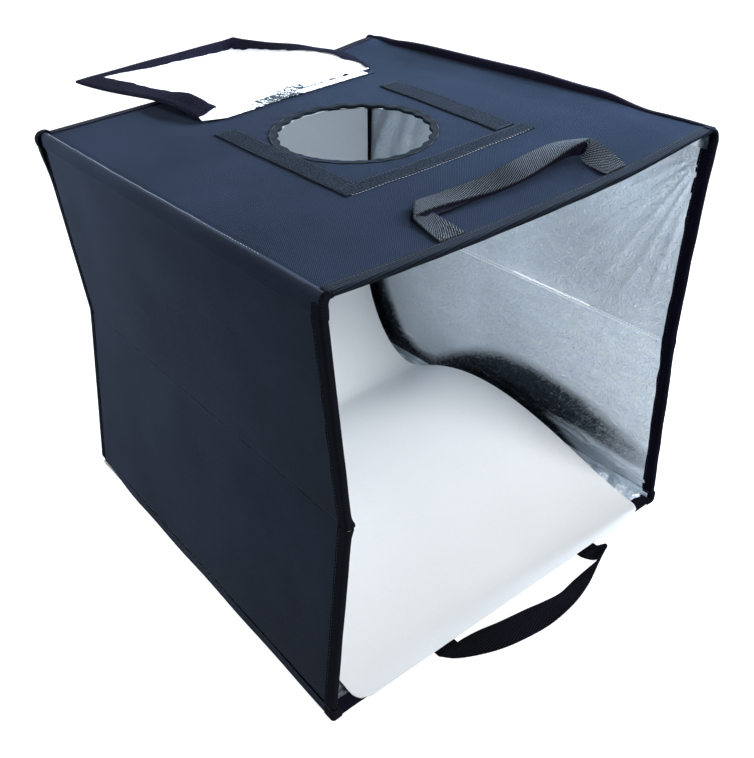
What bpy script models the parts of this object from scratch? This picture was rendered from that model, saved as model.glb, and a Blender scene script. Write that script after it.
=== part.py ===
# Folding light tent cube: six stiffened nylon panels with a silver lining, hinged by cloth bands,
# with a soft back, a round port and hatch in the top, two webbing handles and a white backdrop.
# X points right as the open front is faced, -Y is the front and Z is up. Sizes are in metres.
# The origin is the centre of the underside, on the floor.

import math

import bmesh
import bpy
import numpy as np
from mathutils import Matrix, Vector

# Overall box
box_width = 0.440
box_depth = 0.456
box_height = 0.426

# Layers of a panel, from the outside in, and the bias tape that binds its edges
cover_thickness = 0.0010
board_thickness = 0.0030
lining_thickness = 0.0006
binding_thickness = 0.0008
binding_width = 0.0110
seam_gap = 0.0003

# Fold: each side wall is two halves, bowed a little inward at mid height
bow_angle = math.radians(3.5)
hinge_rise = 0.0070
pivot_gap = 0.00015
band_thickness = 0.0010
left_band_bulge = 0.0025
right_band_bulge = 0.0120
band_stations = 25
band_section_points = 9
band_bulge_power = 6

# Round port in the top, with its gathered binding
port_x = 0.005
port_y = 0.005
port_radius = 0.071
port_leaf_width = 0.0082
scallop_count = 24
scallop_depth = 0.0012
gather_height = 0.0009
stations_per_scallop = 6

# Hook-and-loop strips on three sides of the port
side_strip_width = 0.024
front_strip_width = 0.018
strip_thickness = 0.0012
strips_left_x = -0.099
strips_right_x = 0.132
strips_front_y = -0.108
left_strip_back_y = 0.089
right_strip_back_y = 0.084
front_strip_overrun = 0.004

# Hatch flap, laid open over the back edge
flap_width = 0.222
flap_length = 0.243
flap_x = 0.024
flap_fold_y = 0.135
flap_tape_width = 0.024
flap_foil_thickness = 0.0006
fold_strip_width = 0.008

# Webbing handles
webbing_width = 0.025
webbing_thickness = 0.0014
handle_x = 0.0145
handle_span = 0.219
top_handle_reach = 0.054
top_handle_tilt = math.radians(9.5)
webbing_bend_radius = 0.006
bottom_handle_reach = 0.0365
bottom_handle_inner_reach = 0.0135
bottom_handle_stations = 25
sewn_end_length = 0.0060

# Soft back and backdrop
backdrop_side_gap = 0.0215
backdrop_thickness = 0.0008
backdrop_drop = 0.021
backdrop_lip = 0.005
backdrop_corner_radius = 0.014
sweep_rise = 0.150
sweep_floor_y = 0.125
hump_height = 0.047
hump_front_y = -0.215
hump_lead_share = 0.75
hump_fullness_share = 1.3
path_samples = 400
path_stations = 72
path_smoothing_passes = 220
hook_strip_inset = 0.0485
hook_strip_height = 0.025
hook_strip_thickness = 0.0010
hook_strip_drop = 0.008

# Depths below a panel's outer face, counted inward
cover_out = binding_thickness + seam_gap
cover_in = cover_out + cover_thickness
board_out = cover_in + seam_gap
board_in = board_out + board_thickness
lining_out = board_in + seam_gap
lining_in = lining_out + lining_thickness
panel_thickness = lining_in + seam_gap + binding_thickness

# The box's half sizes, and where its layers end inside the binding and the bands
half_width = box_width / 2
half_depth = box_depth / 2
layer_half_depth = half_depth - binding_thickness - seam_gap
layer_half_width = half_width - band_thickness - seam_gap
binding_inner_y = half_depth - binding_width
backdrop_top = box_height - backdrop_drop
backdrop_width = box_width - backdrop_side_gap - backdrop_side_gap
hook_strip_width = backdrop_width - hook_strip_inset - hook_strip_inset
top_underside = box_height - panel_thickness

# The fold's axes: the walls hinge at their inner faces top and bottom, and at their outer faces
# at mid height, so that the halves fold face to face between the top and the bottom
hinge_height = panel_thickness + hinge_rise
hinge_x = half_width - panel_thickness - pivot_gap
hinge_offset = panel_thickness + pivot_gap
fold_step = hinge_offset + pivot_gap
hinge_span = box_height - hinge_height - hinge_height
half_height = (hinge_span / 2 - fold_step * math.sin(bow_angle)) / math.cos(bow_angle)
crease_height = hinge_height + hinge_span / 2
top_hinge_height = hinge_height + hinge_span
crease_axis_x = hinge_x + fold_step * math.cos(bow_angle) - half_height * math.sin(bow_angle)

# The top's levels
cover_top = box_height - cover_out
strip_bottom = cover_top + seam_gap
strip_top = strip_bottom + strip_thickness

# The flap's levels, upward from its underside, and the axis that lands its tape just clear of the
# strips and of the port's gathered binding
flap_low = box_height + seam_gap
flap_cover_low = flap_low + binding_thickness + seam_gap
flap_cover_high = flap_cover_low + cover_thickness
flap_foil_low = flap_cover_high + seam_gap
flap_foil_high = flap_foil_low + flap_foil_thickness
flap_high = flap_foil_high + seam_gap + binding_thickness
landing_height = max(strip_top, box_height + gather_height) + seam_gap
flap_axis_z = (landing_height + flap_high) / 2
flap_left_x = flap_x - flap_width / 2
flap_right_x = flap_x + flap_width / 2
flap_start_y = flap_fold_y + seam_gap
flap_end_y = flap_fold_y + flap_length

# The handles' axes and ends
handle_left_x = handle_x - handle_span / 2
handle_right_x = handle_x + handle_span / 2
top_handle_axis_y = -binding_inner_y
top_handle_axis_z = box_height + seam_gap + webbing_thickness / 2 + pivot_gap
sewn_end_y = -half_depth - seam_gap
bottom_handle_axis_y = sewn_end_y - sewn_end_length - seam_gap - webbing_thickness / 2
bottom_handle_axis_z = webbing_thickness / 2

# The port's ring
ring_leaf_radius = port_radius + port_leaf_width
ring_web_radius = port_radius + scallop_depth + binding_thickness
port_hole_radius = ring_web_radius + seam_gap
ring_stations = scallop_count * stations_per_scallop


def clear_scene():
    for thing in list(bpy.data.objects):
        bpy.data.objects.remove(thing, do_unlink=True)


def make_material(name, color, roughness, metallic=0.0):
    material = bpy.data.materials.new(name)
    material.use_nodes = True
    shader = material.node_tree.nodes["Principled BSDF"]
    shader.inputs["Base Color"].default_value = (*color, 1.0)
    shader.inputs["Roughness"].default_value = roughness
    shader.inputs["Metallic"].default_value = metallic
    return material


# An empty that carries a moving body, at a point of its joint's axis
def make_carrier(name, place, tilt=0.0):
    carrier = bpy.data.objects.new(name, None)
    carrier.location = place
    carrier.rotation_euler = (0.0, tilt, 0.0)
    carrier.matrix_world = Matrix.LocRotScale(
        Vector(place), carrier.rotation_euler, None)
    bpy.context.scene.collection.objects.link(carrier)
    return carrier


# A closed body skinned over rings of points, which are in the carrier's frame if local is set
def skin(name, rings, material, carrier=None, local=False, closed=False, smooth=False):
    shape = bmesh.new()
    loops = [[shape.verts.new(point) for point in ring] for ring in rings]
    count = len(loops)
    spans = count if closed else count - 1
    for index in range(spans):
        here = loops[index]
        there = loops[(index + 1) % count]
        for corner in range(len(here)):
            after = (corner + 1) % len(here)
            shape.faces.new((here[corner], here[after], there[after], there[corner]))
    if not closed:
        shape.faces.new(loops[0])
        shape.faces.new(tuple(reversed(loops[-1])))
    bmesh.ops.recalc_face_normals(shape, faces=shape.faces)
    mesh = bpy.data.meshes.new(name)
    shape.to_mesh(mesh)
    shape.free()
    if smooth:
        mesh.shade_smooth()
        mesh.set_sharp_from_angle(angle=math.radians(40))
    mesh.materials.append(material)
    body = bpy.data.objects.new(name, mesh)
    bpy.context.scene.collection.objects.link(body)
    if carrier is not None:
        body.parent = carrier
        if not local:
            body.matrix_parent_inverse = carrier.matrix_world.inverted()
    return body


def block(name, low, high, material, carrier=None, place=Vector, local=False):
    rings = []
    for depth in (low[1], high[1]):
        corners = ((low[0], low[2]), (high[0], low[2]), (high[0], high[2]), (low[0], high[2]))
        rings.append([place((across, depth, up)) for across, up in corners])
    return skin(name, rings, material, carrier, local)


# The binding's section: a channel of two leaves and a web, as (inward from the edge, depth)
def channel(leaf_out, leaf_in, depth):
    return (
        (0.0, 0.0),
        (leaf_out, 0.0),
        (leaf_out, binding_thickness),
        (binding_thickness, binding_thickness),
        (binding_thickness, depth - binding_thickness),
        (leaf_in, depth - binding_thickness),
        (leaf_in, depth),
        (0.0, depth),
    )


def cut(body, cutter):
    hole = body.modifiers.new("port", "BOOLEAN")
    hole.operation = "DIFFERENCE"
    hole.solver = "EXACT"
    hole.object = cutter


def make_port_cutter():
    rings = []
    for height in (top_underside - hinge_rise, box_height + hinge_rise):
        ring = []
        for step in range(ring_stations):
            turn = math.tau * step / ring_stations
            across = port_x + port_hole_radius * math.cos(turn)
            along = port_y + port_hole_radius * math.sin(turn)
            ring.append((across, along, height))
        rings.append(ring)
    cutter = skin("port_cutter", rings, materials["board"])
    cutter.hide_render = True
    cutter.display_type = "WIRE"
    return cutter


# The bottom panel lies on its cover, whose edges are pressed thin under the binding
def make_bottom():
    field_y = binding_inner_y - seam_gap
    outline = (
        (-layer_half_depth, cover_out),
        (-field_y, cover_out),
        (-field_y, 0.0),
        (field_y, 0.0),
        (field_y, cover_out),
        (layer_half_depth, cover_out),
        (layer_half_depth, cover_in),
        (-layer_half_depth, cover_in),
    )
    rings = [[(across, along, up) for along, up in outline] for across in (-half_width, half_width)]
    skin("bottom_cover", rings, materials["nylon"])
    for name, low, high, finish in (
        ("bottom_board", board_out, board_in, "board"),
        ("bottom_lining", lining_out, lining_in, "silver"),
    ):
        block(
            name,
            (-layer_half_width, -layer_half_depth, low),
            (layer_half_width, layer_half_depth, high),
            materials[finish],
        )
    make_cross_bindings("bottom", 0.0, 1.0, None)


def make_cross_bindings(panel, outer_level, inward, carrier):
    section = channel(binding_width, binding_width, panel_thickness)
    for end, side in (("front", -1.0), ("back", 1.0)):
        rings = []
        for across in (-layer_half_width, layer_half_width):
            ring = []
            for inset, depth in section:
                ring.append((across, side * (half_depth - inset), outer_level + inward * depth))
            rings.append(ring)
        skin(f"{panel}_{end}_binding", rings, materials["binding"], carrier)


def make_top(carrier, cutter):
    for name, half, low, high, finish in (
        ("top_cover", half_width, cover_out, cover_in, "nylon"),
        ("top_board", layer_half_width, board_out, board_in, "board"),
        ("top_lining", layer_half_width, lining_out, lining_in, "silver"),
    ):
        body = block(
            name,
            (-half, -layer_half_depth, box_height - high),
            (half, layer_half_depth, box_height - low),
            materials[finish],
            carrier,
        )
        cut(body, cutter)
    make_cross_bindings("top", box_height, -1.0, carrier)


# A hinge band: a cloth strip along a side edge, from level low to level high, bulging outward
def make_band(name, side, low, high, bulge, carrier):
    rings = []
    for station in range(band_stations):
        along = -half_depth + box_depth * station / (band_stations - 1)
        swell = bulge * (1.0 - abs(along / half_depth) ** band_bulge_power)
        outer = []
        inner = []
        for step in range(band_section_points):
            share = step / (band_section_points - 1)
            centre_x = half_width - band_thickness / 2 + swell * math.sin(math.pi * share) ** 2
            slope = swell * math.pi * math.sin(math.tau * share)
            normal = Vector((high - low, -slope)).normalized() * (band_thickness / 2)
            up = low + (high - low) * share
            outer.append((side * (centre_x + normal.x), along, up + normal.y))
            inner.append((side * (centre_x - normal.x), along, up - normal.y))
        rings.append(outer + inner[::-1])
    return skin(name, rings, materials["nylon"], carrier, smooth=True)


# A point of a wall's lower half in its hinge's frame, from its distance up the wall and its depth
def lower_place(side, up, along, depth):
    return (side * (hinge_offset - depth), along, up)


# The same for an upper half, in the frame of the crease that it starts at
def upper_place(side, up, along, depth):
    return (-side * (depth + pivot_gap), along, up)


def make_wall_half(name, side, place, carrier):
    start = pivot_gap
    stop = half_height - pivot_gap
    for layer, low, high, finish in (
        ("cover", cover_out, cover_in, "nylon"),
        ("board", board_out, board_in, "board"),
        ("lining", lining_out, lining_in, "silver"),
    ):
        rings = []
        for along in (-layer_half_depth, layer_half_depth):
            corners = ((start, low), (start, high), (stop, high), (stop, low))
            rings.append([place(side, up, along, depth) for up, depth in corners])
        skin(f"{name}_{layer}", rings, materials[finish], carrier, local=True)
    section = channel(binding_width, binding_width, panel_thickness)
    for end, toward in (("front", -1.0), ("back", 1.0)):
        rings = []
        for up in (start, stop):
            ring = []
            for inset, depth in section:
                ring.append(place(side, up, toward * (half_depth - inset), depth))
            rings.append(ring)
        skin(f"{name}_{end}_binding", rings, materials["binding"], carrier, local=True)


# The soft back follows the walls' bow: it is widest at the bands and narrowest at the crease
def make_back():
    hinge_edge = hinge_x + pivot_gap * math.cos(bow_angle) - seam_gap
    crease_edge = hinge_edge - half_height * math.sin(bow_angle)
    right_side = (
        (layer_half_width, panel_thickness + seam_gap),
        (layer_half_width, hinge_height - seam_gap),
        (hinge_edge, hinge_height - seam_gap),
        (crease_edge, crease_height),
        (hinge_edge, top_hinge_height + seam_gap),
        (layer_half_width, top_hinge_height + seam_gap),
        (layer_half_width, top_underside - seam_gap),
    )
    outline = list(right_side) + [(-across, up) for across, up in reversed(right_side)]
    back_face = half_depth - seam_gap
    lining_back = back_face - cover_thickness - seam_gap
    for name, back, thickness, finish in (
        ("back_cloth", back_face, cover_thickness, "nylon"),
        ("back_lining", lining_back, lining_thickness, "silver"),
    ):
        rings = []
        for along in (back - thickness, back):
            rings.append([(across, along, up) for across, up in outline])
        skin(name, rings, materials[finish])
    return lining_back - lining_thickness


# The backdrop's side profile as (y, z), from its front lip to its top: it lies on the lining, humps up,
# dips to the floor, and then sweeps up the back
def backdrop_path(sheet_y):
    rest = panel_thickness + seam_gap + backdrop_thickness / 2
    front = -half_depth - backdrop_lip
    points = []
    for step in range(path_samples):
        share = step / (path_samples - 1)
        along = front + (sheet_y - front) * share
        if along < sweep_floor_y:
            lead = (sweep_floor_y - along) / (sweep_floor_y - hump_front_y)
            swell = math.sin(math.pi * min(lead, 1.0) ** hump_lead_share)
            points.append((along, rest + hump_height * max(swell, 0.0) ** hump_fullness_share))
        else:
            reach = (along - sweep_floor_y) / (sheet_y - sweep_floor_y)
            points.append((along, rest + sweep_rise * (1.0 - math.sqrt(max(1.0 - reach**2, 0.0)))))
    points.append((sheet_y, backdrop_top))
    fine = spaced(np.array(points), path_samples)
    for _ in range(path_smoothing_passes):
        fine[1:-1] = (fine[:-2] + fine[1:-1] + fine[1:-1] + fine[2:]) / 4
    return spaced(fine, path_stations)


# The same polyline with its points evenly spaced along it
def spaced(points, count):
    steps = np.hypot(*np.diff(points, axis=0).T)
    travelled = np.concatenate(([0.0], np.cumsum(steps)))
    wanted = np.linspace(0.0, travelled[-1], count)
    return np.column_stack([np.interp(wanted, travelled, points[:, axis]) for axis in (0, 1)])


def make_backdrop(lining_face):
    hook_face = lining_face - seam_gap
    loop_face = hook_face - hook_strip_thickness - seam_gap
    sheet_y = loop_face - hook_strip_thickness - seam_gap - backdrop_thickness / 2
    path = backdrop_path(sheet_y)
    steps = np.hypot(*np.diff(path, axis=0).T)
    travelled = np.concatenate(([0.0], np.cumsum(steps)))
    tangents = np.gradient(path, axis=0)
    tangents /= np.hypot(*tangents.T)[:, None]
    rings = []
    for point, tangent, distance in zip(path, tangents, travelled):
        inset = max(backdrop_corner_radius - distance, 0.0)
        trim = backdrop_corner_radius - math.sqrt(backdrop_corner_radius**2 - inset**2)
        half = backdrop_width / 2 - trim * (1.0 - seam_gap / backdrop_corner_radius)
        offset = np.array((-tangent[1], tangent[0])) * backdrop_thickness / 2
        low = point - offset
        high = point + offset
        rings.append([(-half, *low), (half, *low), (half, *high), (-half, *high)])
    skin("backdrop_sheet", rings, materials["sheet"], smooth=True)
    strip_high = backdrop_top - hook_strip_drop
    for name, face in (("backdrop_hook_strip", hook_face), ("backdrop_loop_strip", loop_face)):
        block(
            name,
            (-hook_strip_width / 2, face - hook_strip_thickness, strip_high - hook_strip_height),
            (hook_strip_width / 2, face, strip_high),
            materials["tape"],
        )


# The gathered binding round the port: a channel whose inner edge is scalloped
def make_port_ring(carrier):
    top = box_height
    bottom = top_underside
    rings = []
    for station in range(ring_stations):
        turn = math.tau * station / ring_stations
        wave = math.cos(scallop_count * turn)
        inner = port_radius + scallop_depth * wave
        crown = top + gather_height * (1.0 + wave) / 2
        middle = (inner + ring_web_radius) / 2
        section = (
            (ring_leaf_radius, top),
            (ring_leaf_radius, top - binding_thickness),
            (ring_web_radius, top - binding_thickness),
            (ring_web_radius, bottom + binding_thickness),
            (ring_leaf_radius, bottom + binding_thickness),
            (ring_leaf_radius, bottom),
            (middle, bottom),
            (inner, bottom + binding_thickness),
            (inner, top - binding_thickness),
            (middle, crown),
        )
        ring = []
        for radius, up in section:
            ring.append((port_x + radius * math.cos(turn), port_y + radius * math.sin(turn), up))
        rings.append(ring)
    skin("port_binding", rings, materials["binding"], carrier, closed=True, smooth=True)


def make_strips(carrier):
    side_front_y = strips_front_y + front_strip_width + seam_gap
    for name, low_x, high_x, low_y, high_y in (
        ("left_hook_strip", strips_left_x, strips_left_x + side_strip_width,
         side_front_y, left_strip_back_y),
        ("right_hook_strip", strips_right_x - side_strip_width, strips_right_x,
         side_front_y, right_strip_back_y),
        ("front_hook_strip", strips_left_x, strips_right_x + front_strip_overrun,
         strips_front_y, strips_front_y + front_strip_width),
    ):
        block(name, (low_x, low_y, strip_bottom), (high_x, high_y, strip_top), materials["tape"], carrier)
    block(
        "flap_fold_strip",
        (flap_left_x, flap_fold_y - seam_gap - fold_strip_width, strip_bottom),
        (flap_right_x, flap_fold_y - seam_gap, strip_top),
        materials["nylon"],
        carrier,
    )


# The flap's border runs round three sides: a narrow leaf below and the wide hook tape above
def make_flap(carrier):
    inset = binding_thickness + seam_gap
    for name, low, high, finish in (
        ("flap_cover", flap_cover_low, flap_cover_high, "nylon"),
        ("flap_foil", flap_foil_low, flap_foil_high, "silver"),
    ):
        block(
            name,
            (flap_left_x + inset, flap_start_y, low),
            (flap_right_x - inset, flap_end_y - inset, high),
            materials[finish],
            carrier,
        )
    section = channel(binding_width, flap_tape_width, flap_high - flap_low)
    rings = []
    for across, along, mitre_x, mitre_y in (
        (flap_left_x, flap_start_y, 1.0, 0.0),
        (flap_left_x, flap_end_y, 1.0, -1.0),
        (flap_right_x, flap_end_y, -1.0, -1.0),
        (flap_right_x, flap_start_y, -1.0, 0.0),
    ):
        ring = []
        for inward, up in section:
            ring.append((across + mitre_x * inward, along + mitre_y * inward, flap_low + up))
        rings.append(ring)
    skin("flap_border", rings, materials["tape"], carrier)


# The top handle: a flat loop of webbing with mitred corners, standing a little off the cover
def make_top_handle(carrier):
    root = top_handle_axis_y + seam_gap
    far = top_handle_axis_y + top_handle_reach
    near = far - webbing_width
    bend = webbing_bend_radius
    left_out = handle_left_x
    left_in = handle_left_x + webbing_width
    right_out = handle_right_x
    right_in = handle_right_x - webbing_width
    stations = [
        ((left_out, root), (left_in, root)),
        ((left_out, far - bend), (left_in, near - bend)),
        ((left_out + bend, far), (left_in + bend, near)),
        ((right_out - bend, far), (right_in - bend, near)),
        ((right_out, far - bend), (right_in, near - bend)),
        ((right_out, root), (right_in, root)),
    ]
    slope = math.tan(top_handle_tilt)
    rings = []
    for outer, inner in stations:
        ring = []
        for (across, along), side in ((outer, -1.0), (inner, -1.0), (inner, 1.0), (outer, 1.0)):
            up = top_handle_axis_z + slope * (along - top_handle_axis_y)
            ring.append((across, along, up + side * webbing_thickness / 2))
        rings.append(ring)
    skin("top_handle", rings, materials["webbing"], carrier)


# The bottom handle: a crescent of webbing lying on the floor, between its two sewn ends
def make_bottom_handle(carrier):
    root = bottom_handle_axis_y + webbing_thickness / 2 - seam_gap
    half_out = handle_span / 2
    half_in = half_out - webbing_width
    rings = []
    for station in range(bottom_handle_stations):
        turn = math.pi * station / (bottom_handle_stations - 1)
        sway = math.cos(turn)
        swing = math.sin(turn)
        outer = (handle_x - half_out * sway, root - bottom_handle_reach * swing)
        inner = (handle_x - half_in * sway, root - bottom_handle_inner_reach * swing)
        rings.append([
            (*outer, 0.0),
            (*inner, 0.0),
            (*inner, webbing_thickness),
            (*outer, webbing_thickness),
        ])
    skin("bottom_handle", rings, materials["webbing"], carrier)
    for name, low_x in (
        ("bottom_handle_left_end", handle_left_x),
        ("bottom_handle_right_end", handle_right_x - webbing_width),
    ):
        block(
            name,
            (low_x, sewn_end_y - sewn_end_length, 0.0),
            (low_x + webbing_width, sewn_end_y, webbing_thickness),
            materials["webbing"],
        )


def make_bands(top_carrier):
    low = cover_in + seam_gap
    high = hinge_height - seam_gap
    top_low = top_hinge_height + seam_gap
    top_high = box_height - cover_in - seam_gap
    for name, side, top_bulge in (
        ("left", -1.0, left_band_bulge),
        ("right", 1.0, right_band_bulge),
    ):
        make_band(f"bottom_{name}_band", side, low, high, 0.0, None)
        make_band(f"top_{name}_band", side, top_low, top_high, top_bulge, top_carrier)


def make_walls():
    for name, side in (("left", -1.0), ("right", 1.0)):
        hinge = (side * hinge_x, 0.0, hinge_height)
        crease = (side * crease_axis_x, 0.0, crease_height)
        lower = make_carrier(f"{name}_lower_axis", hinge, -side * bow_angle)
        upper = make_carrier(f"{name}_upper_axis", crease, side * bow_angle)
        make_wall_half(f"{name}_lower", side, lower_place, lower)
        make_wall_half(f"{name}_upper", side, upper_place, upper)


clear_scene()
materials = {
    "nylon": make_material("nylon", (0.036, 0.046, 0.074), 0.75),
    "binding": make_material("binding", (0.010, 0.009, 0.018), 0.7),
    "board": make_material("board", (0.55, 0.52, 0.46), 0.85),
    "silver": make_material("silver", (0.62, 0.65, 0.70), 0.25, 1.0),
    "tape": make_material("tape", (0.020, 0.021, 0.030), 0.95),
    "webbing": make_material("webbing", (0.026, 0.027, 0.034), 0.8),
    "sheet": make_material("sheet", (0.78, 0.81, 0.84), 0.45),
}
top_axis = make_carrier("top_axis", (-hinge_x, 0.0, top_hinge_height))
flap_axis = make_carrier("flap_axis", (flap_x, flap_fold_y, flap_axis_z))
top_handle_axis = make_carrier("top_handle_axis", (handle_x, top_handle_axis_y, top_handle_axis_z))
bottom_handle_axis = make_carrier(
    "bottom_handle_axis", (handle_x, bottom_handle_axis_y, bottom_handle_axis_z))
port_cutter = make_port_cutter()
make_bottom()
make_walls()
make_top(top_axis, port_cutter)
make_bands(top_axis)
inner_face = make_back()
make_backdrop(inner_face)
make_port_ring(top_axis)
make_strips(top_axis)
make_flap(flap_axis)
make_top_handle(top_handle_axis)
make_bottom_handle(bottom_handle_axis)

for label, value in (
    ("hinge x", hinge_x),
    ("hinge height", hinge_height),
    ("crease axis x", crease_axis_x),
    ("crease height", crease_height),
    ("top hinge height", top_hinge_height),
    ("flap axis height", flap_axis_z),
    ("top handle axis y", top_handle_axis_y),
    ("top handle axis height", top_handle_axis_z),
    ("bottom handle axis y", bottom_handle_axis_y),
    ("bottom handle axis height", bottom_handle_axis_z),
    ("wall half height", half_height),
):
    print(f"{label}: {value:.6f}")
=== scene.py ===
import math

import bpy
import numpy as np
from mathutils import Matrix, Vector


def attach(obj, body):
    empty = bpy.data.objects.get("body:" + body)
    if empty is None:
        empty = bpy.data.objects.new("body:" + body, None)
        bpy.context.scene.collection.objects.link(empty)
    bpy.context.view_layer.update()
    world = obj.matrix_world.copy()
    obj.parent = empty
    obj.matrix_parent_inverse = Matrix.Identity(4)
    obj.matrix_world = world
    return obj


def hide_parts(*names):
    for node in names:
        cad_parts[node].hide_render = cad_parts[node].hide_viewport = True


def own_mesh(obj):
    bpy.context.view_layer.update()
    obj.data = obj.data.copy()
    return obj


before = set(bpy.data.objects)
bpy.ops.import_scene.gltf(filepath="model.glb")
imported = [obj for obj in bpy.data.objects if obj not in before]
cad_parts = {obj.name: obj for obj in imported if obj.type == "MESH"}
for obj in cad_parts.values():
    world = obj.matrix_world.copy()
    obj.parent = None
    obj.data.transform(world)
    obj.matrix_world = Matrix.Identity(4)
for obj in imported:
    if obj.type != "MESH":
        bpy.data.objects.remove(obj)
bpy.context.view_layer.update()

print("frame loaded:", len(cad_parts), "nodes")

# Places of the box that every piece shares, in metres: X to the right, -Y the open front, Z up
box = {
    "halfWidth": 0.2200, "halfDepth": 0.2280, "height": 0.4260, "panel": 0.0074, "skinHalfY": 0.2262,
    "hingeX": 0.21245, "hingeZ": 0.0144, "creaseX": 0.208017, "creaseZ": 0.2130,
    "hingeOffset": 0.00755, "pivotGap": 0.00015, "wallLength": 0.1985, "bow": math.radians(3.5),
}

# How the cloth box has given way: the top twists and its front edge sags between lifted corners,
# the foot of each wall stands further out at the front, and the walls lean in at their creases
slack = {
    "twist": 0.0015, "sag": 0.0062, "sagEnd": 0.1000,
    "cornerLift": 0.0030, "rightLift": 0.0042, "rightLiftX": (0.10, 0.22),
    "backPeak": 0.0056, "peakX": (0.130, 0.212), "peakY": (0.185, 0.226),
    "footLeft": 0.0059, "footRight": 0.0075, "leanLeft": 0.0072, "leanRight": -0.0034,
}

# Depths of a panel's layers below its outer face: middle of each layer and its thickness
layers = {"cover": (0.0016, 0.0010), "board": (0.0039, 0.0028), "lining": (0.0060, 0.0006)}


# Shapes

# 0 below low, 1 above high, with level ends: 3t^2 - 2t^3
def ease(value, low, high):
    t = np.clip((np.asarray(value, float) - low) / (high - low), 0, 1)
    return t * t * (3 - 2 * t)


# Rise of the top panel's pieces above a flat panel
def topWarp(x, y):
    front = 1 - ease(y, -box["halfDepth"], slack["sagEnd"])
    across = (x / box["halfWidth"]) ** 2
    lift = slack["cornerLift"] + slack["rightLift"] * ease(x, *slack["rightLiftX"])
    dip = lift - slack["sag"] * (1 - np.minimum(across, 1))
    peak = slack["backPeak"] * ease(x, *slack["peakX"]) * ease(y, *slack["peakY"])
    return slack["twist"] * (x / box["halfWidth"]) * (y / box["halfDepth"]) + front * dip + peak


# How far the foot of a wall stands outside the plain box, from the front edge to the back
def footSpread(side, y):
    reach = slack["footRight"] if side > 0 else slack["footLeft"]
    return reach * np.clip(0.5 - y / (2 * box["halfDepth"]), 0, 1)


# Where a point of the bottom panel's pieces goes sideways, so that they meet the walls' feet
def bottomSpread(x, y):
    right = np.clip(x / box["halfWidth"], 0, 1) ** 2
    left = np.clip(-x / box["halfWidth"], 0, 1) ** 2
    return x + right * footSpread(1.0, y) - left * footSpread(-1.0, y)


# A slow random swell of about -1 to 1: the mean of eight plane waves, whose lengths, headings
# and phases come from the seed
def ripple(a, b, size, seed):
    rng = np.random.default_rng(seed)
    turn = rng.uniform(0, math.tau, 8)
    phase = rng.uniform(0, math.tau, 8)
    wave = size * rng.uniform(0.7, 1.7, 8)
    a = np.asarray(a, float)[..., None]
    b = np.asarray(b, float)[..., None]
    swell = np.sin(math.tau * (a * np.cos(turn) + b * np.sin(turn)) / wave + phase)
    return swell.sum(axis=-1) / 4.0


# Crumpled foil: sharp valleys where two slow swells cross zero, large and small
def crumple(a, b, size, seed):
    large = np.abs(ripple(a, b, size, seed))
    small = np.abs(ripple(a, b, size * 0.42, seed + 1))
    return large + 0.45 * small


def unit(v):
    return v / np.maximum(np.linalg.norm(v, axis=-1, keepdims=True), 1e-12)


# Points from their three coordinates, each a number or a grid
def spots(x, y, z):
    return np.stack(np.broadcast_arrays(x, y, z), -1)


# Two grids of evenly spaced values: the first changes along a row, the second down a column
def spread(lowX, highX, columns, lowY, highY, rows):
    x = np.linspace(lowX, highX, columns)[None] + np.zeros((rows, 1))
    return x, np.linspace(lowY, highY, rows)[:, None] + 0 * x


# Slope of a grid of points along one of its sides, wrapping where that side closes on itself
def slope(grid, axis, closed):
    if closed:
        return (np.roll(grid, -1, axis) - np.roll(grid, 1, axis)) / 2
    return np.gradient(grid, axis=axis)


# Distance travelled along one side of a grid, averaged over the other side
def travelled(grid, axis, closed):
    if closed:
        grid = np.concatenate([grid, np.take(grid, [0], axis)], axis)
    steps = np.linalg.norm(np.diff(grid, axis=axis), axis=-1).mean(axis=1 - axis)
    return np.concatenate([[0.0], np.cumsum(steps)])


# Distance travelled along a polyline
def reached(points):
    return np.concatenate([[0.0], np.cumsum(np.linalg.norm(np.diff(points, axis=0), axis=1))])


# Points evenly spaced along a polyline
def respaced(points, count):
    points = np.asarray(points, float)
    reach = reached(points)
    wanted = np.linspace(0, reach[-1], count)
    return np.stack([np.interp(wanted, reach, column) for column in points.T], 1)


# A smooth curve through rows of points: cubic Hermite spans with half their neighbours' chord as slope
def smoothPath(points, steps):
    points = np.asarray(points, float)
    slopes = np.gradient(points, axis=0)
    t = np.linspace(0, 1, steps, endpoint=False)[None, :, None]
    a, b = points[:-1, None], points[1:, None]
    m, n = slopes[:-1, None], slopes[1:, None]
    curve = ((2 * t**3 - 3 * t**2 + 1) * a + (t**3 - 2 * t**2 + t) * m
             + (3 * t**2 - 2 * t**3) * b + (t**3 - t**2) * n)
    return np.concatenate([curve.reshape(-1, points.shape[1]), points[-1:]])


# Quads of a grid, as row and column numbers, going round each cell
def cells(rows, columns):
    i, j = np.meshgrid(np.arange(rows - 1), np.arange(columns - 1), indexing="ij")
    i, j = i.ravel(), j.ravel()
    return np.stack([i, i, i + 1, i + 1], 1), np.stack([j, j + 1, j + 1, j], 1)


# A number at each point of a mesh, which a finish can read
def setMark(mesh, label, values):
    mark = mesh.attributes.new(label, "FLOAT", "POINT")
    mark.data.foreach_set("value", values.astype(np.float32))


sharpAngle = math.radians(50)


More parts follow.
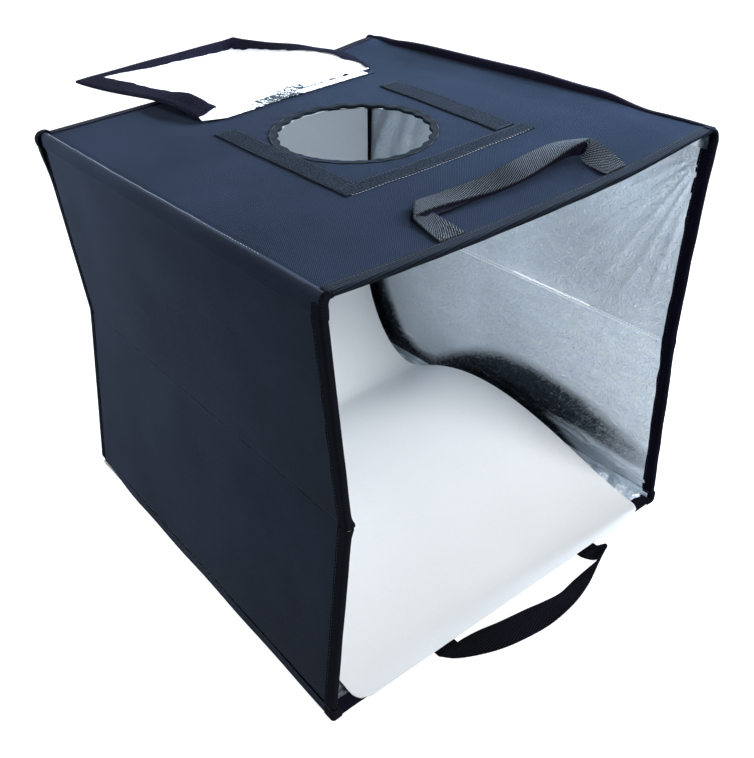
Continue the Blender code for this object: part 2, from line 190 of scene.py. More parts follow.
# The mesh of a piece, with its own map in metres and its distance from the nearest free edge; its
# faces are turned over if the volume that they enclose comes out below 0
def addPiece(name, points, faces, flat, rim, finish, body, hides=()):
    corners = points[faces]
    volume = np.einsum("ij,ij->", corners[:, 0], np.cross(corners[:, 1], corners[:, 2]))
    volume += np.einsum("ij,ij->", corners[:, 0], np.cross(corners[:, 2], corners[:, 3]))
    if volume < 0:
        faces = faces[:, ::-1]
        flat = flat[:, ::-1]
    mesh = bpy.data.meshes.new(name)
    mesh.from_pydata(points.tolist(), [], faces.tolist())
    layer = mesh.uv_layers.new(name="flat")
    layer.data.foreach_set("uv", flat.astype(np.float32).ravel())
    setMark(mesh, "rim", rim)
    mesh.shade_smooth()
    mesh.set_sharp_from_angle(angle=sharpAngle)
    mesh.materials.append(finishes[finish])
    piece = bpy.data.objects.new(name, mesh)
    bpy.context.scene.collection.objects.link(piece)
    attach(piece, body)
    if hides:
        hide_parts(*hides)
    return piece


# A sheet of cloth as a thin closed body: the grid is its middle, and each face stands half the
# thickness off it along the grid's normal
def clothArrays(mid, thickness, closedRows=False, closedColumns=False, flat=None):
    rows, columns = mid.shape[:2]
    normal = unit(np.cross(slope(mid, 0, closedRows), slope(mid, 1, closedColumns))) * (thickness / 2)
    points = np.concatenate([(mid + normal).reshape(-1, 3), (mid - normal).reshape(-1, 3)])
    v, u = travelled(mid, 0, closedRows), travelled(mid, 1, closedColumns)
    wrap = ((0, int(closedRows)), (0, int(closedColumns)))
    number = np.pad(np.arange(rows * columns).reshape(rows, columns), wrap, mode="wrap")
    if flat is None:
        flat = np.stack(np.meshgrid(u, v), -1)
    else:
        flat = np.pad(flat, (*wrap, (0, 0)), mode="wrap")
    i, j = cells(*number.shape)
    inside = rows * columns
    faces = [number[i, j], number[i, j][:, ::-1] + inside]
    maps = [flat[i, j], flat[i, j][:, ::-1]]
    rim = np.full(number.shape, 1.0)
    sides = []
    if not closedRows:
        rim = np.minimum(rim, np.minimum(v, v[-1] - v)[:, None])
        sides += [(number[0], flat[0]), (number[-1, ::-1], flat[-1, ::-1])]
    if not closedColumns:
        rim = np.minimum(rim, np.minimum(u, u[-1] - u)[None, :])
        sides += [(number[::-1, 0], flat[::-1, 0]), (number[:, -1], flat[:, -1])]
    for here, laid in sides:
        faces.append(np.stack([here[1:], here[:-1], here[:-1] + inside, here[1:] + inside], 1))
        maps.append(np.stack([laid[1:], laid[:-1], laid[:-1], laid[1:]], 1))
    rim = rim[:rows, :columns].ravel()
    return points, np.concatenate(faces), np.concatenate(maps), np.concatenate([rim] * 2)


# A sheet as a piece; veil is how far the foil is darkened at each point of its middle
def clothPiece(name, mid, thickness, finish, body, hides=(), veil=None, **how):
    piece = addPiece(name, *clothArrays(mid, thickness, **how), finish, body, hides)
    if veil is not None:
        whole = np.broadcast_to(veil, mid.shape[:2]).ravel()
        setMark(piece.data, "veil", np.concatenate([whole] * 2))
    return piece


# The arrays of several pieces as one piece's
def joined(parts):
    starts = np.cumsum([0] + [len(part[0]) for part in parts])
    parts = [(part[0], part[1] + start, *part[2:]) for part, start in zip(parts, starts)]
    return [np.concatenate(arrays) for arrays in zip(*parts)]


# A row of stitches: each a short thread that rises out of the cloth and dives back into it; its
# six-sided ends are closed by two quads each
def stitchArrays(path, outward, look):
    reach = reached(path)
    rings, sides = look["rings"], 6
    count = max(int(reach[-1] / look["pitch"]), 1)
    share = np.linspace(-0.5, 0.5, rings)
    at = (np.arange(count) + 0.5)[:, None] * look["pitch"] + share[None] * look["length"]
    spot = np.stack([np.interp(at, reach, column) for column in path.T], -1)
    up = unit(np.stack([np.interp(at, reach, column) for column in outward.T], -1))
    side = unit(np.cross(np.gradient(spot, axis=1), up))
    arch = np.cos(math.pi * share)[None, :, None]
    middle = spot + up * (look["rise"] * arch - look["sink"])
    turn = np.linspace(0, math.tau, sides, endpoint=False)[None, None, :, None]
    ring = np.cos(turn) * up[:, :, None] + np.sin(turn) * side[:, :, None]
    points = middle[:, :, None] + ring * (look["radius"] * (0.4 + 0.6 * arch))[..., None]
    number = np.arange(rings * sides).reshape(rings, sides)
    number = np.concatenate([number, number[:, :1]], 1)
    i, j = cells(*number.shape)
    ends = np.array([[0, 1, 2, 3], [0, 3, 4, 5]])
    faces = np.concatenate([number[i, j], ends[:, ::-1], ends + (rings - 1) * sides])
    faces = (faces[None] + (np.arange(count) * rings * sides)[:, None, None]).reshape(-1, 4)
    return points.reshape(-1, 3), faces


def stitchPiece(name, rows, look, finish, body):
    points, faces = joined([stitchArrays(path, outward, look) for path, outward in rows])
    return addPiece(name, points, faces, np.zeros((len(faces), 4, 2)), np.ones(len(points)), finish, body)


# Finishes

def put(tree, kind, inputs=None, **fields):
    node = tree.nodes.new(kind)
    for field, value in fields.items():
        setattr(node, field, value)
    for socket, value in (inputs or {}).items():
        if hasattr(value, "is_linked"):
            tree.links.new(value, node.inputs[socket])
        else:
            node.inputs[socket].default_value = value
    return node


def calc(tree, operation, a, b=0.0, c=0.0):
    return put(tree, "ShaderNodeMath", {0: a, 1: b, 2: c}, operation=operation).outputs[0]


def scaled(tree, vector, amount):
    return put(tree, "ShaderNodeVectorMath", {0: vector, "Scale": amount}, operation="SCALE").outputs[0]


def noise(tree, vector, scale, detail, roughness=0.5):
    inputs = {"Vector": vector, "Scale": scale, "Detail": detail, "Roughness": roughness}
    return put(tree, "ShaderNodeTexNoise", inputs).outputs


def facets(tree, vector, scale):
    return put(tree, "ShaderNodeTexVoronoi", {"Vector": vector, "Scale": scale}, feature="F1").outputs[0]


# A value between two bounds, moved onto another pair and kept within it
def remap(tree, value, low=0.0, high=1.0, fromLow=0.0, fromHigh=1.0):
    inputs = {"Value": value, "From Min": fromLow, "From Max": fromHigh, "To Min": low, "To Max": high}
    return put(tree, "ShaderNodeMapRange", inputs).outputs[0]


def mix(tree, factor, first, second):
    return put(tree, "ShaderNodeMix", {"Factor": factor, 6: first, 7: second}, data_type="RGBA").outputs[2]


def rgba(color, amount=1.0):
    return (*[amount * c for c in color], 1.0)


def tint(tree, factor, look):
    return mix(tree, factor, rgba(look["dark"]), rgba(look["light"]))


# A group that takes a vector and numbers, and gives numbers
def newGroup(name, inputs, outputs):
    group = bpy.data.node_groups.new(name, "ShaderNodeTree")
    group.interface.new_socket("Vector", in_out="INPUT", socket_type="NodeSocketVector")
    for label, value in inputs.items():
        socket = group.interface.new_socket(label, in_out="INPUT", socket_type="NodeSocketFloat")
        socket.default_value = value
    for label in outputs:
        group.interface.new_socket(label, in_out="OUTPUT", socket_type="NodeSocketFloat")
    return group, group.nodes.new("NodeGroupInput").outputs, group.nodes.new("NodeGroupOutput").inputs


# Plain weave: at every other crossing of the two sets of yarn the warp lies on top
def makeWeaveGroup():
    group, given, out = newGroup("plainWeave", {"Pitch": 0.0008}, ("Height", "Tone"))
    yarn = scaled(group, given["Vector"], calc(group, "DIVIDE", math.pi, given["Pitch"]))
    split = put(group, "ShaderNodeSeparateXYZ", {0: yarn}).outputs
    warp, weft = calc(group, "SINE", split[0]), calc(group, "SINE", split[1])
    over = calc(group, "GREATER_THAN", calc(group, "MULTIPLY", warp, weft), 0.0)
    under = calc(group, "SUBTRACT", 1.0, over)
    height = calc(group, "ADD", calc(group, "MULTIPLY", calc(group, "ABSOLUTE", warp), over),
                  calc(group, "MULTIPLY", calc(group, "ABSOLUTE", weft), under))
    tone = calc(group, "MULTIPLY_ADD", height, 0.75, calc(group, "MULTIPLY", over, 0.25))
    group.links.new(height, out["Height"])
    group.links.new(tone, out["Tone"])
    return group


# Ribs that run aslant across a tape, broken along their length by the cross threads
def makeRibGroup():
    inputs = {"Pitch": 0.0022, "Slant": 1.0, "Nick": 0.0012, "Contrast": 1.4}
    group, given, out = newGroup("slantRibs", inputs, ("Height", "Tone"))
    split = put(group, "ShaderNodeSeparateXYZ", {0: given["Vector"]}).outputs
    lean = calc(group, "MULTIPLY_ADD", split[0], given["Slant"], split[1])
    turns = calc(group, "DIVIDE", calc(group, "MULTIPLY", lean, math.tau), given["Pitch"])
    rib = calc(group, "MULTIPLY_ADD", calc(group, "SINE", turns), 0.5, 0.5)
    other = calc(group, "SUBTRACT", calc(group, "MULTIPLY", split[0], given["Slant"]), split[1])
    cross = calc(group, "DIVIDE", calc(group, "MULTIPLY", other, math.tau), given["Nick"])
    nick = calc(group, "MULTIPLY_ADD", calc(group, "SINE", cross), 0.22, 0.78)
    height = calc(group, "MULTIPLY", rib, nick)
    group.links.new(height, out["Height"])
    group.links.new(calc(group, "POWER", height, given["Contrast"]), out["Tone"])
    return group


# Slow patches of shade about 1, and fine specks from 0 to 1
def makeShadeGroup():
    inputs = {"Patch": 14.0, "Speck": 900.0, "Amount": 0.3}
    group, given, out = newGroup("shadePatches", inputs, ("Tone", "Fleck"))
    slow = noise(group, given["Vector"], given["Patch"], 4.0, 0.55)[0]
    fine = noise(group, given["Vector"], given["Speck"], 2.0, 0.6)[0]
    swing = calc(group, "MULTIPLY", calc(group, "SUBTRACT", slow, 0.5), given["Amount"])
    group.links.new(calc(group, "MULTIPLY_ADD", swing, 2.0, 1.0), out["Tone"])
    group.links.new(fine, out["Fleck"])
    return group


# Wear of a free edge, and on the webbings painted shade along it: 1 at the edge, fading over the width, and
# broken up by a fine noise
def makeWearAndShadeGroup():
    group, given, out = newGroup("edgeWearAndShade", {"Rim": 1.0, "Width": 0.003}, ("Mask",))
    near = remap(group, given["Rim"], 1.0, 0.0, fromHigh=given["Width"])
    rough = noise(group, given["Vector"], 260.0, 3.0)[0]
    group.links.new(calc(group, "MULTIPLY", near, rough), out["Mask"])
    return group


# Crinkled foil: cells for the small facets, and a noise stretched along three axes for the fine
# creases, both bent by a slower noise
def makeCrinkleGroup():
    group, given, out = newGroup("foilCrinkle", {"Cell": 170.0, "Crease": 60.0}, ("Height", "Glint"))
    shift = scaled(group, noise(group, given["Vector"], 70.0, 3.0)[1], 0.012)
    moved = put(group, "ShaderNodeVectorMath", {0: given["Vector"], 1: shift}, operation="ADD").outputs[0]
    axes = ((0.6, -0.75, 0.66), (2.0, 2.1, 2.4), (0.5, 0.0, 0.0))
    spans = [put(group, "ShaderNodeVectorMath", {0: moved, 1: axis}, operation="DOT_PRODUCT")
             for axis in axes]
    stretched = put(group, "ShaderNodeCombineXYZ", {k: spans[k].outputs["Value"] for k in range(3)})
    crease = noise(group, stretched.outputs[0], given["Crease"], 5.0, 0.62)[0]
    ridge = calc(group, "ABSOLUTE", calc(group, "SUBTRACT", crease, 0.5))
    facet = calc(group, "MULTIPLY", facets(group, moved, given["Cell"]), 0.55)
    group.links.new(calc(group, "MULTIPLY_ADD", ridge, 2.2, facet), out["Height"])
    group.links.new(crease, out["Glint"])
    return group


groups = {"weave": makeWeaveGroup(), "ribs": makeRibGroup(), "shade": makeShadeGroup(),
          "wearAndShade": makeWearAndShadeGroup(), "crinkle": makeCrinkleGroup()}


def useGroup(tree, name, **inputs):
    return put(tree, "ShaderNodeGroup", inputs, node_tree=groups[name]).outputs


def readMark(tree, label):
    return put(tree, "ShaderNodeAttribute", attribute_name=label).outputs["Fac"]


# A new material with its shader, and the piece's own map and place to read from
def startMaterial(name, roughness, metallic=0.0, sheen=0.0, specular=0.0):
    material = bpy.data.materials.new(name)
    material.use_nodes = True
    tree = material.node_tree
    shader = tree.nodes["Principled BSDF"]
    shader.inputs["Roughness"].default_value = roughness
    shader.inputs["Metallic"].default_value = metallic
    shader.inputs["Specular IOR Level"].default_value = specular
    shader.inputs["Emission Color"].default_value = (1.0, 1.0, 1.0, 1.0)
    if sheen:
        shader.inputs["Sheen Weight"].default_value = sheen
        shader.inputs["Sheen Roughness"].default_value = 0.45
    flat = put(tree, "ShaderNodeUVMap", uv_map="flat").outputs[0]
    place = put(tree, "ShaderNodeTexCoord").outputs["Object"]
    return material, tree, shader, flat, place


# Joins the colour, the roughness and the reliefs, each a height and its depth, to the shader
def dress(material, color, rough, *reliefs):
    tree = material.node_tree
    shader = tree.nodes["Principled BSDF"]
    tree.links.new(color, shader.inputs["Base Color"])
    if rough is not None:
        tree.links.new(rough, shader.inputs["Roughness"])
    before = {}
    for height, depth in reliefs:
        node = put(tree, "ShaderNodeBump", {"Height": height, "Distance": depth, "Strength": 1.0, **before})
        before = {"Normal": node.outputs[0]}
    tree.links.new(before["Normal"], shader.inputs["Normal"])
    return material


# Woven stuffs: a plain weave or ribs, slow patches of shade, and edges worn paler, or on the webbings
# darkened as painted shade; gloss is how far the roughness moves from its mean at either end
def makeWoven(name, look):
    material, tree, shader, flat, place = startMaterial(name, look["roughness"], sheen=look["sheen"])
    sockets = {key.capitalize(): look[key] for key in ("pitch", "slant", "nick", "contrast") if key in look}
    yarn = useGroup(tree, look["yarn"], Vector=flat, **sockets)
    shade = useGroup(tree, "shade", Vector=place, Patch=look["patch"], Amount=look["amount"],
                     Speck=look["speck"])
    wearAndShade = useGroup(tree, "wearAndShade", Vector=place, Rim=readMark(tree, "rim"), Width=look["wearAndShadeWidth"])
    color = scaled(tree, tint(tree, yarn["Tone"], look), shade["Tone"])
    color = mix(tree, calc(tree, "MULTIPLY", wearAndShade["Mask"], look["wearAndShade"]), color,
                rgba(look["light"], look["wornAndShaded"]))
    swing = shade["Fleck"] if look["yarn"] == "weave" else yarn["Tone"]
    low, high = look["gloss"]
    rough = remap(tree, swing, look["roughness"] + low, look["roughness"] + high)
    return dress(material, color, rough, (yarn["Height"], look["relief"]), (shade["Fleck"], look["nap"]))


# Hook-and-loop tape: a dense pile of tiny loops, with a smooth woven edge
def makePile(name, look):
    material, tree, shader, flat, place = startMaterial(name, 0.9, sheen=look["sheen"])
    loops = facets(tree, flat, look["loops"])
    fuzz = noise(tree, flat, look["loops"] * 0.45, 5.0, 0.7)[0]
    shade = useGroup(tree, "shade", Vector=place, Patch=40.0, Amount=0.35, Speck=1800.0)
    field = remap(tree, readMark(tree, "rim"), fromLow=0.0012, fromHigh=0.0022)
    grain = remap(tree, fuzz, fromLow=0.36, fromHigh=0.66)
    color = scaled(tree, tint(tree, grain, look), shade["Tone"])
    color = mix(tree, field, rgba(look["edge"]), color)
    height = calc(tree, "MULTIPLY", calc(tree, "ADD", fuzz, loops), field)
    return dress(material, color, remap(tree, field, 0.6, 0.95), (height, look["relief"]))


# Silver foil: metal with facets, creases, dull patches and a faint woven ground. Where the veil, broken up
# by noise, passes between its two thresholds, a dark colour takes its place: the cloth beneath where the
# flap's foil has torn, and painted shade and painted reflection on the other linings
def makeFoil(name, look):
    material, tree, shader, flat, place = startMaterial(name, look["roughness"], metallic=look["metal"])
    crinkle = useGroup(tree, "crinkle", Vector=place, Cell=look["cell"], Crease=look["crease"])
    weave = useGroup(tree, "weave", Vector=flat, Pitch=0.0016)
    shade = useGroup(tree, "shade", Vector=place, Patch=9.0, Amount=0.22, Speck=520.0)
    # The foil's colour goes lighter and darker with the creases: painted highlights
    sharper = remap(tree, crinkle["Glint"], fromLow=0.22, fromHigh=0.78)
    color = scaled(tree, tint(tree, sharper, look), shade["Tone"])
    veilNoise = calc(tree, "ADD", shade["Fleck"], calc(tree, "MULTIPLY", crinkle["Glint"], 2.0))
    veilNoise = calc(tree, "MULTIPLY_ADD", calc(tree, "SUBTRACT", veilNoise, 1.5), look["veilNoise"] / 3, 1.0)
    low, high = look["tornAndShaded"]
    tornAndShaded = remap(tree, calc(tree, "MULTIPLY", readMark(tree, "veil"), veilNoise), fromLow=low, fromHigh=high)
    # A glow, where the look gives one, is painted light
    if look["glow"]:
        glow = calc(tree, "MULTIPLY", calc(tree, "SUBTRACT", 1.0, tornAndShaded), look["glow"])
        tree.links.new(glow, shader.inputs["Emission Strength"])
    color = mix(tree, tornAndShaded, color, rgba(look["paintedShadeAndTear"]))
    rough = remap(tree, shade["Fleck"], look["roughness"] - 0.08, look["roughness"] + 0.12)
    return dress(material, color, rough, (crinkle["Height"], look["relief"]), (weave["Height"], 0.00004))


# The backdrop's smooth plastic: satin, with a faint orange-peel grain and dusty patches
def makePlastic(name, look):
    material, tree, shader, flat, place = startMaterial(name, look["roughness"], specular=0.4)
    shade = useGroup(tree, "shade", Vector=place, Patch=5.0, Amount=0.05, Speck=300.0)
    color = scaled(tree, tint(tree, shade["Fleck"], look), shade["Tone"])
    rough = remap(tree, shade["Fleck"], look["roughness"] - 0.06, look["roughness"] + 0.08)
    return dress(material, color, rough, (noise(tree, flat, 1500.0, 2.0)[0], 0.00003))


# Twisted sewing thread: two plies that wind along the stitch; a glow, where the look gives one, is a
# painted highlight
def makeThread(name, look):
    material, tree, shader, flat, place = startMaterial(name, 0.5, sheen=0.4)
    ply = put(tree, "ShaderNodeTexWave", {"Vector": place, "Scale": 700.0, "Distortion": 2.0})
    shader.inputs["Emission Strength"].default_value = look["glow"]
    return dress(material, tint(tree, ply.outputs["Fac"], look), None, (ply.outputs["Fac"], 0.00006))


# Grey chipboard of the stiffeners: fibres pressed flat
def makeBoard(name, look):
    material, tree, shader, flat, place = startMaterial(name, 0.9)
    long = put(tree, "ShaderNodeVectorMath", {0: place, 1: (90.0, 900.0, 90.0)}, operation="MULTIPLY")
    fibre = noise(tree, long.outputs[0], 1.0, 6.0, 0.7)[0]
    return dress(material, tint(tree, fibre, look), None, (fibre, 0.0001))


nylonLook = {"yarn": "weave", "dark": (0.0051, 0.0092, 0.0182), "light": (0.0155, 0.0236, 0.0435),
             "pitch": 0.0010, "relief": 0.00022, "nap": 0.00012, "roughness": 0.62, "gloss": (-0.10, 0.12),
             "sheen": 0.02, "patch": 11.0, "amount": 0.35, "speck": 1400.0, "wearAndShade": 0.10, "wornAndShaded": 2.2,
             "wearAndShadeWidth": 0.004}
# The walls', the bottom's and the back's nylon, and the left band's below, are the top's cloth given a
# lighter colour to match the tone they show under weaker light: painted light
wallLook = dict(nylonLook, dark=(0.011, 0.0155, 0.025), light=(0.034, 0.042, 0.063), sheen=0.05)
bandNylonLook = dict(nylonLook, dark=(0.010, 0.014, 0.024), light=(0.030, 0.040, 0.060), wearAndShade=0.0,
                     sheen=0.04)
bandLook = dict(nylonLook, dark=(0.004, 0.004, 0.009), light=(0.012, 0.011, 0.024), wearAndShade=0.0)
bindingLook = {"yarn": "ribs", "dark": (0.003, 0.003, 0.008), "light": (0.014, 0.013, 0.026),
               "pitch": 0.0013, "slant": 0.15, "nick": 0.0021, "contrast": 1.4, "relief": 0.0002,
               "nap": 0.0001, "roughness": 0.7, "gloss": (0.08, -0.08), "sheen": 0.03, "patch": 22.0,
               "amount": 0.3, "speck": 1600.0, "wearAndShade": 0.12, "wornAndShaded": 1.6, "wearAndShadeWidth": 0.0015}
frontTapeLook = dict(bindingLook, dark=(0.006, 0.008, 0.013), light=(0.019, 0.025, 0.036), slant=14.0,
                     pitch=0.0300, contrast=1.0, relief=0.0001, wearAndShade=0.0)
wallTapeLook = dict(bindingLook, dark=(0.005, 0.006, 0.009), light=(0.013, 0.016, 0.023), relief=0.0001)
portTapeLook = dict(bindingLook, dark=(0.003, 0.005, 0.008), light=(0.013, 0.019, 0.027), wearAndShade=0.0)
# The webbings' edges are mixed to a dark tone: painted shade for the shadow along the straps' edges
webbingLook = dict(bindingLook, dark=(0.001, 0.002, 0.004), light=(0.300, 0.340, 0.410), pitch=0.0038,
                   slant=-1.72, nick=0.0024, contrast=4.6, relief=0.0008, roughness=0.6, sheen=0.05,
                   wearAndShade=1.5, wornAndShaded=0.12)
floorWebbingLook = dict(webbingLook, dark=(0.003, 0.003, 0.005), light=(0.022, 0.022, 0.030), sheen=0.02,
                        pitch=0.0044)
pileLook = {"dark": (0.001, 0.002, 0.004), "light": (0.026, 0.034, 0.048), "edge": (0.007, 0.010, 0.016),
            "loops": 1200.0, "relief": 0.0005, "sheen": 0.01}
flapTapeLook = dict(pileLook, dark=(0.001, 0.001, 0.004), light=(0.017, 0.017, 0.032),
                    edge=(0.007, 0.007, 0.018))
# The foil's dark colour is the cloth under torn foil on the flap, and painted shade and painted reflection
# on the other linings
foilLook = {"dark": (0.68, 0.78, 0.92), "light": (0.94, 0.99, 1.0), "cell": 360.0, "crease": 150.0,
            "relief": 0.0011, "roughness": 0.29, "metal": 1.0, "veilNoise": 2.0, "tornAndShaded": (0.05, 0.90),
            "paintedShadeAndTear": (0.030, 0.042, 0.054), "glow": 0.0}
# The flap's foil glows where it is not torn: painted light
flapFoilLook = dict(foilLook, dark=(0.97, 0.98, 1.0), light=(1.0, 1.0, 1.0), relief=0.0002, metal=0.1,
                    veilNoise=7.0, tornAndShaded=(0.34, 0.44), glow=0.10)
plasticLook = {"dark": (0.72, 0.74, 0.76), "light": (0.76, 0.78, 0.80), "roughness": 0.42}
threadLook = {"dark": (0.010, 0.012, 0.018), "light": (0.060, 0.068, 0.085), "glow": 0.0}
paleThreadLook = {"dark": (0.16, 0.18, 0.24), "light": (0.42, 0.45, 0.55), "glow": 0.0}
# The silver thread glows: painted highlights for the bright flecks along the crease
foilThreadLook = {"dark": (0.45, 0.48, 0.55), "light": (1.0, 1.0, 1.0), "glow": 0.80}
boardLook = {"dark": (0.34, 0.31, 0.27), "light": (0.62, 0.58, 0.51)}

# Each finish: its maker, its material's name, its look and the slot of its pieces
finishRows = {
    "nylon": (makeWoven, "topNylon", nylonLook, "nylon"),
    "wall": (makeWoven, "wallNylon", wallLook, "nylon"),
    "bandNylon": (makeWoven, "rolledBandNylon", bandNylonLook, "nylon"),
    "darkBand": (makeWoven, "sideBandNylon", bandLook, "nylon"),
    "binding": (makeWoven, "biasBinding", bindingLook, "binding"),
    "frontTape": (makeWoven, "topEdgeBinding", frontTapeLook, "binding"),
    "wallTape": (makeWoven, "leftWallBinding", wallTapeLook, "binding"),
    "portTape": (makeWoven, "portBiasBinding", portTapeLook, "binding"),
    "webbing": (makeWoven, "handleWebbing", webbingLook, "webbing"),
    "floorWebbing": (makeWoven, "floorWebbing", floorWebbingLook, "webbing"),
    "pile": (makePile, "loopTape", pileLook, "tape"),
    "flapTape": (makePile, "flapHookTape", flapTapeLook, "tape"),
    "foil": (makeFoil, "silverLining", foilLook, "silver"),
    "flapFoil": (makeFoil, "flapSilver", flapFoilLook, "silver"),
    "sheet": (makePlastic, "backdropPlastic", plasticLook, "sheet"),
    "thread": (makeThread, "darkThread", threadLook, "binding"),
    "paleThread": (makeThread, "paleThread", paleThreadLook, "binding"),
    "foilThread": (makeThread, "silverThread", foilThreadLook, "silver"),
    "board": (makeBoard, "stiffenerBoard", boardLook, "board"),
}
finishes = {key: make(name, look) for key, (make, name, look, slot) in finishRows.items()}
print("finishes made:", len(finishes))


# Camera, floor and light

view = {
    "place": (-0.54460, -0.65864, 0.73645),
    "right": (0.8152506, -0.5752100, -0.0670814),
    "up": (0.3461353, 0.3911310, 0.8527643),
    "forward": (0.4642809, 0.7184358, -0.5179703),
    "focal": 950.4, "centre": (262.6, 326.6), "frame": (754.0, 758.0), "sensor": 36.0,
}


# The photograph is 754 by 758, so Blender's sensor width belongs to the taller side
def makeCamera():
    lens = bpy.data.cameras.new("viewLens")
    longest = max(view["frame"])
    lens.sensor_fit = "AUTO"
    lens.sensor_width = view["sensor"]
    lens.lens = view["focal"] * view["sensor"] / longest
    lens.shift_x = (view["frame"][0] / 2 - view["centre"][0]) / longest
    lens.shift_y = (view["centre"][1] - view["frame"][1] / 2) / longest
    lens.clip_start = 0.01
    camera = bpy.data.objects.new("viewCamera", lens)
    turn = Matrix((view["right"], view["up"], [-c for c in view["forward"]])).transposed()
    camera.matrix_world = Matrix.Translation(view["place"]) @ turn.to_4x4()
    bpy.context.scene.collection.objects.link(camera)
    bpy.context.scene.camera = camera


studio = {
    "floorSize": 24.0, "floorDrop": 0.0004, "floorGlow": 1.34, "floorShare": 0.36,
    "floorColor": (0.06, 0.063, 0.068), "floorPale": (0.95, 0.95, 0.95),
    "skyColor": (0.97, 0.99, 1.0), "ambient": 0.06, "mirrored": 1.0,
}

# Each light's kind, its place or the way to it, and its settings; all but the last aim at the box's
# middle, and the last at the port
lights = {
    "frontSun": {"kind": "SUN", "toward": (0.14, -0.80, 0.68),
                 "fields": {"energy": 3.1, "angle": math.radians(34), "color": (1.0, 0.99, 0.97)}},
    "backSun": {"kind": "SUN", "toward": (0.72, 0.50, 0.30),
                "fields": {"energy": 7.6, "angle": math.radians(7), "color": (0.80, 0.90, 1.0)}},
    "leftLamp": {"kind": "AREA", "place": (-0.70, 0.50, 0.55),
                 "fields": {"size": 0.35, "energy": 8.0, "color": (0.80, 0.90, 1.0)}},
    "rightLamp": {"kind": "AREA", "place": (0.66, -0.10, 0.61),
                  "fields": {"size": 0.30, "energy": 27.0, "color": (0.70, 0.85, 1.0)}},
    "frontLamp": {"kind": "AREA", "place": (-0.10, -1.30, 0.75),
                  "fields": {"size": 0.60, "energy": 1.2, "color": (0.94, 0.98, 1.0)}},
    "portLamp": {"kind": "SPOT", "place": (0.010, -0.170, 1.05), "target": (0.005, 0.005, box["height"]),
                 "fields": {"energy": 5.5, "shadow_soft_size": 0.10, "spot_size": math.radians(20),
                            "spot_blend": 1.0}},
}


# 1 for rays from the camera, from a mirror or through glass, which see the floor glow, and 0 for the
# others, which see it dark, so that it lights nothing from below
def rayMask(tree):
    path = put(tree, "ShaderNodeLightPath").outputs
    seen = calc(tree, "ADD", path["Is Camera Ray"], path["Is Glossy Ray"])
    seen = calc(tree, "ADD", seen, path["Is Transmission Ray"])
    return calc(tree, "MINIMUM", seen, 1.0)


def makeStudio():
    half = studio["floorSize"] / 2
    drop = -studio["floorDrop"]
    mesh = bpy.data.meshes.new("studioFloor")
    mesh.from_pydata([(-half, -half, drop), (half, -half, drop), (half, half, drop), (-half, half, drop)],
                     [], [(0, 1, 2, 3)])
    floor = bpy.data.objects.new("studioFloor", mesh)
    bpy.context.scene.collection.objects.link(floor)
    material = bpy.data.materials.new("floorPaper")
    material.use_nodes = True
    tree = material.node_tree
    tree.nodes.remove(tree.nodes["Principled BSDF"])
    matte = put(tree, "ShaderNodeBsdfDiffuse", {"Color": rgba(studio["floorColor"])}).outputs[0]
    glow = put(tree, "ShaderNodeEmission", {"Strength": studio["floorGlow"]}).outputs[0]
    pale = put(tree, "ShaderNodeBsdfDiffuse", {"Color": rgba(studio["floorPale"])}).outputs[0]
    soft = put(tree, "ShaderNodeMixShader", {0: studio["floorShare"], 1: glow, 2: pale}).outputs[0]
    both = put(tree, "ShaderNodeMixShader", {0: rayMask(tree), 1: matte, 2: soft})
    tree.links.new(both.outputs[0], tree.nodes["Material Output"].inputs["Surface"])
    mesh.materials.append(material)

    world = bpy.data.worlds.new("studioWorld")
    bpy.context.scene.world = world
    world.use_nodes = True
    tree = world.node_tree
    ground = tree.nodes["Background"]
    path = put(tree, "ShaderNodeLightPath").outputs
    shiny = remap(tree, path["Is Glossy Ray"], studio["ambient"], studio["mirrored"])
    tree.links.new(calc(tree, "MAXIMUM", shiny, path["Is Camera Ray"]), ground.inputs["Strength"])
    ground.inputs["Color"].default_value = rgba(studio["skyColor"])

    middle = Vector((0.0, 0.0, box["height"] / 2))
    for name, look in lights.items():
        light = bpy.data.lights.new(name, look["kind"])
        for field, value in look["fields"].items():
            setattr(light, field, value)
        holder = bpy.data.objects.new(name, light)
        holder.location = look["place"] if "place" in look else middle + Vector(look["toward"]) * 2
        target = Vector(look.get("target", middle))
        holder.rotation_euler = (target - holder.location).to_track_quat("-Z", "Y").to_euler()
        bpy.context.scene.collection.objects.link(holder)
    bpy.context.scene.view_settings.view_transform = "Standard"


makeCamera()
makeStudio()
print("camera, floor and light set")


# The backdrop's run, which the foil of the walls also follows

backdrop = {
    "halfWidth": 0.1985, "thickness": 0.0008, "front": -0.2330, "sheetY": 0.2227, "top": 0.4050,
    "rest": 0.0081, "floorY": 0.1250, "rise": 0.1500, "humpFront": -0.2150, "humpHeight": 0.0470,
    "lead": 0.75, "fullness": 1.3, "corner": 0.0140, "widen": 0.0062, "samples": 400, "rounds": 220,
    "rows": 220, "columns": 80, "swell": 0.0016, "foot": 0.0077, "keep": 0.014,
}


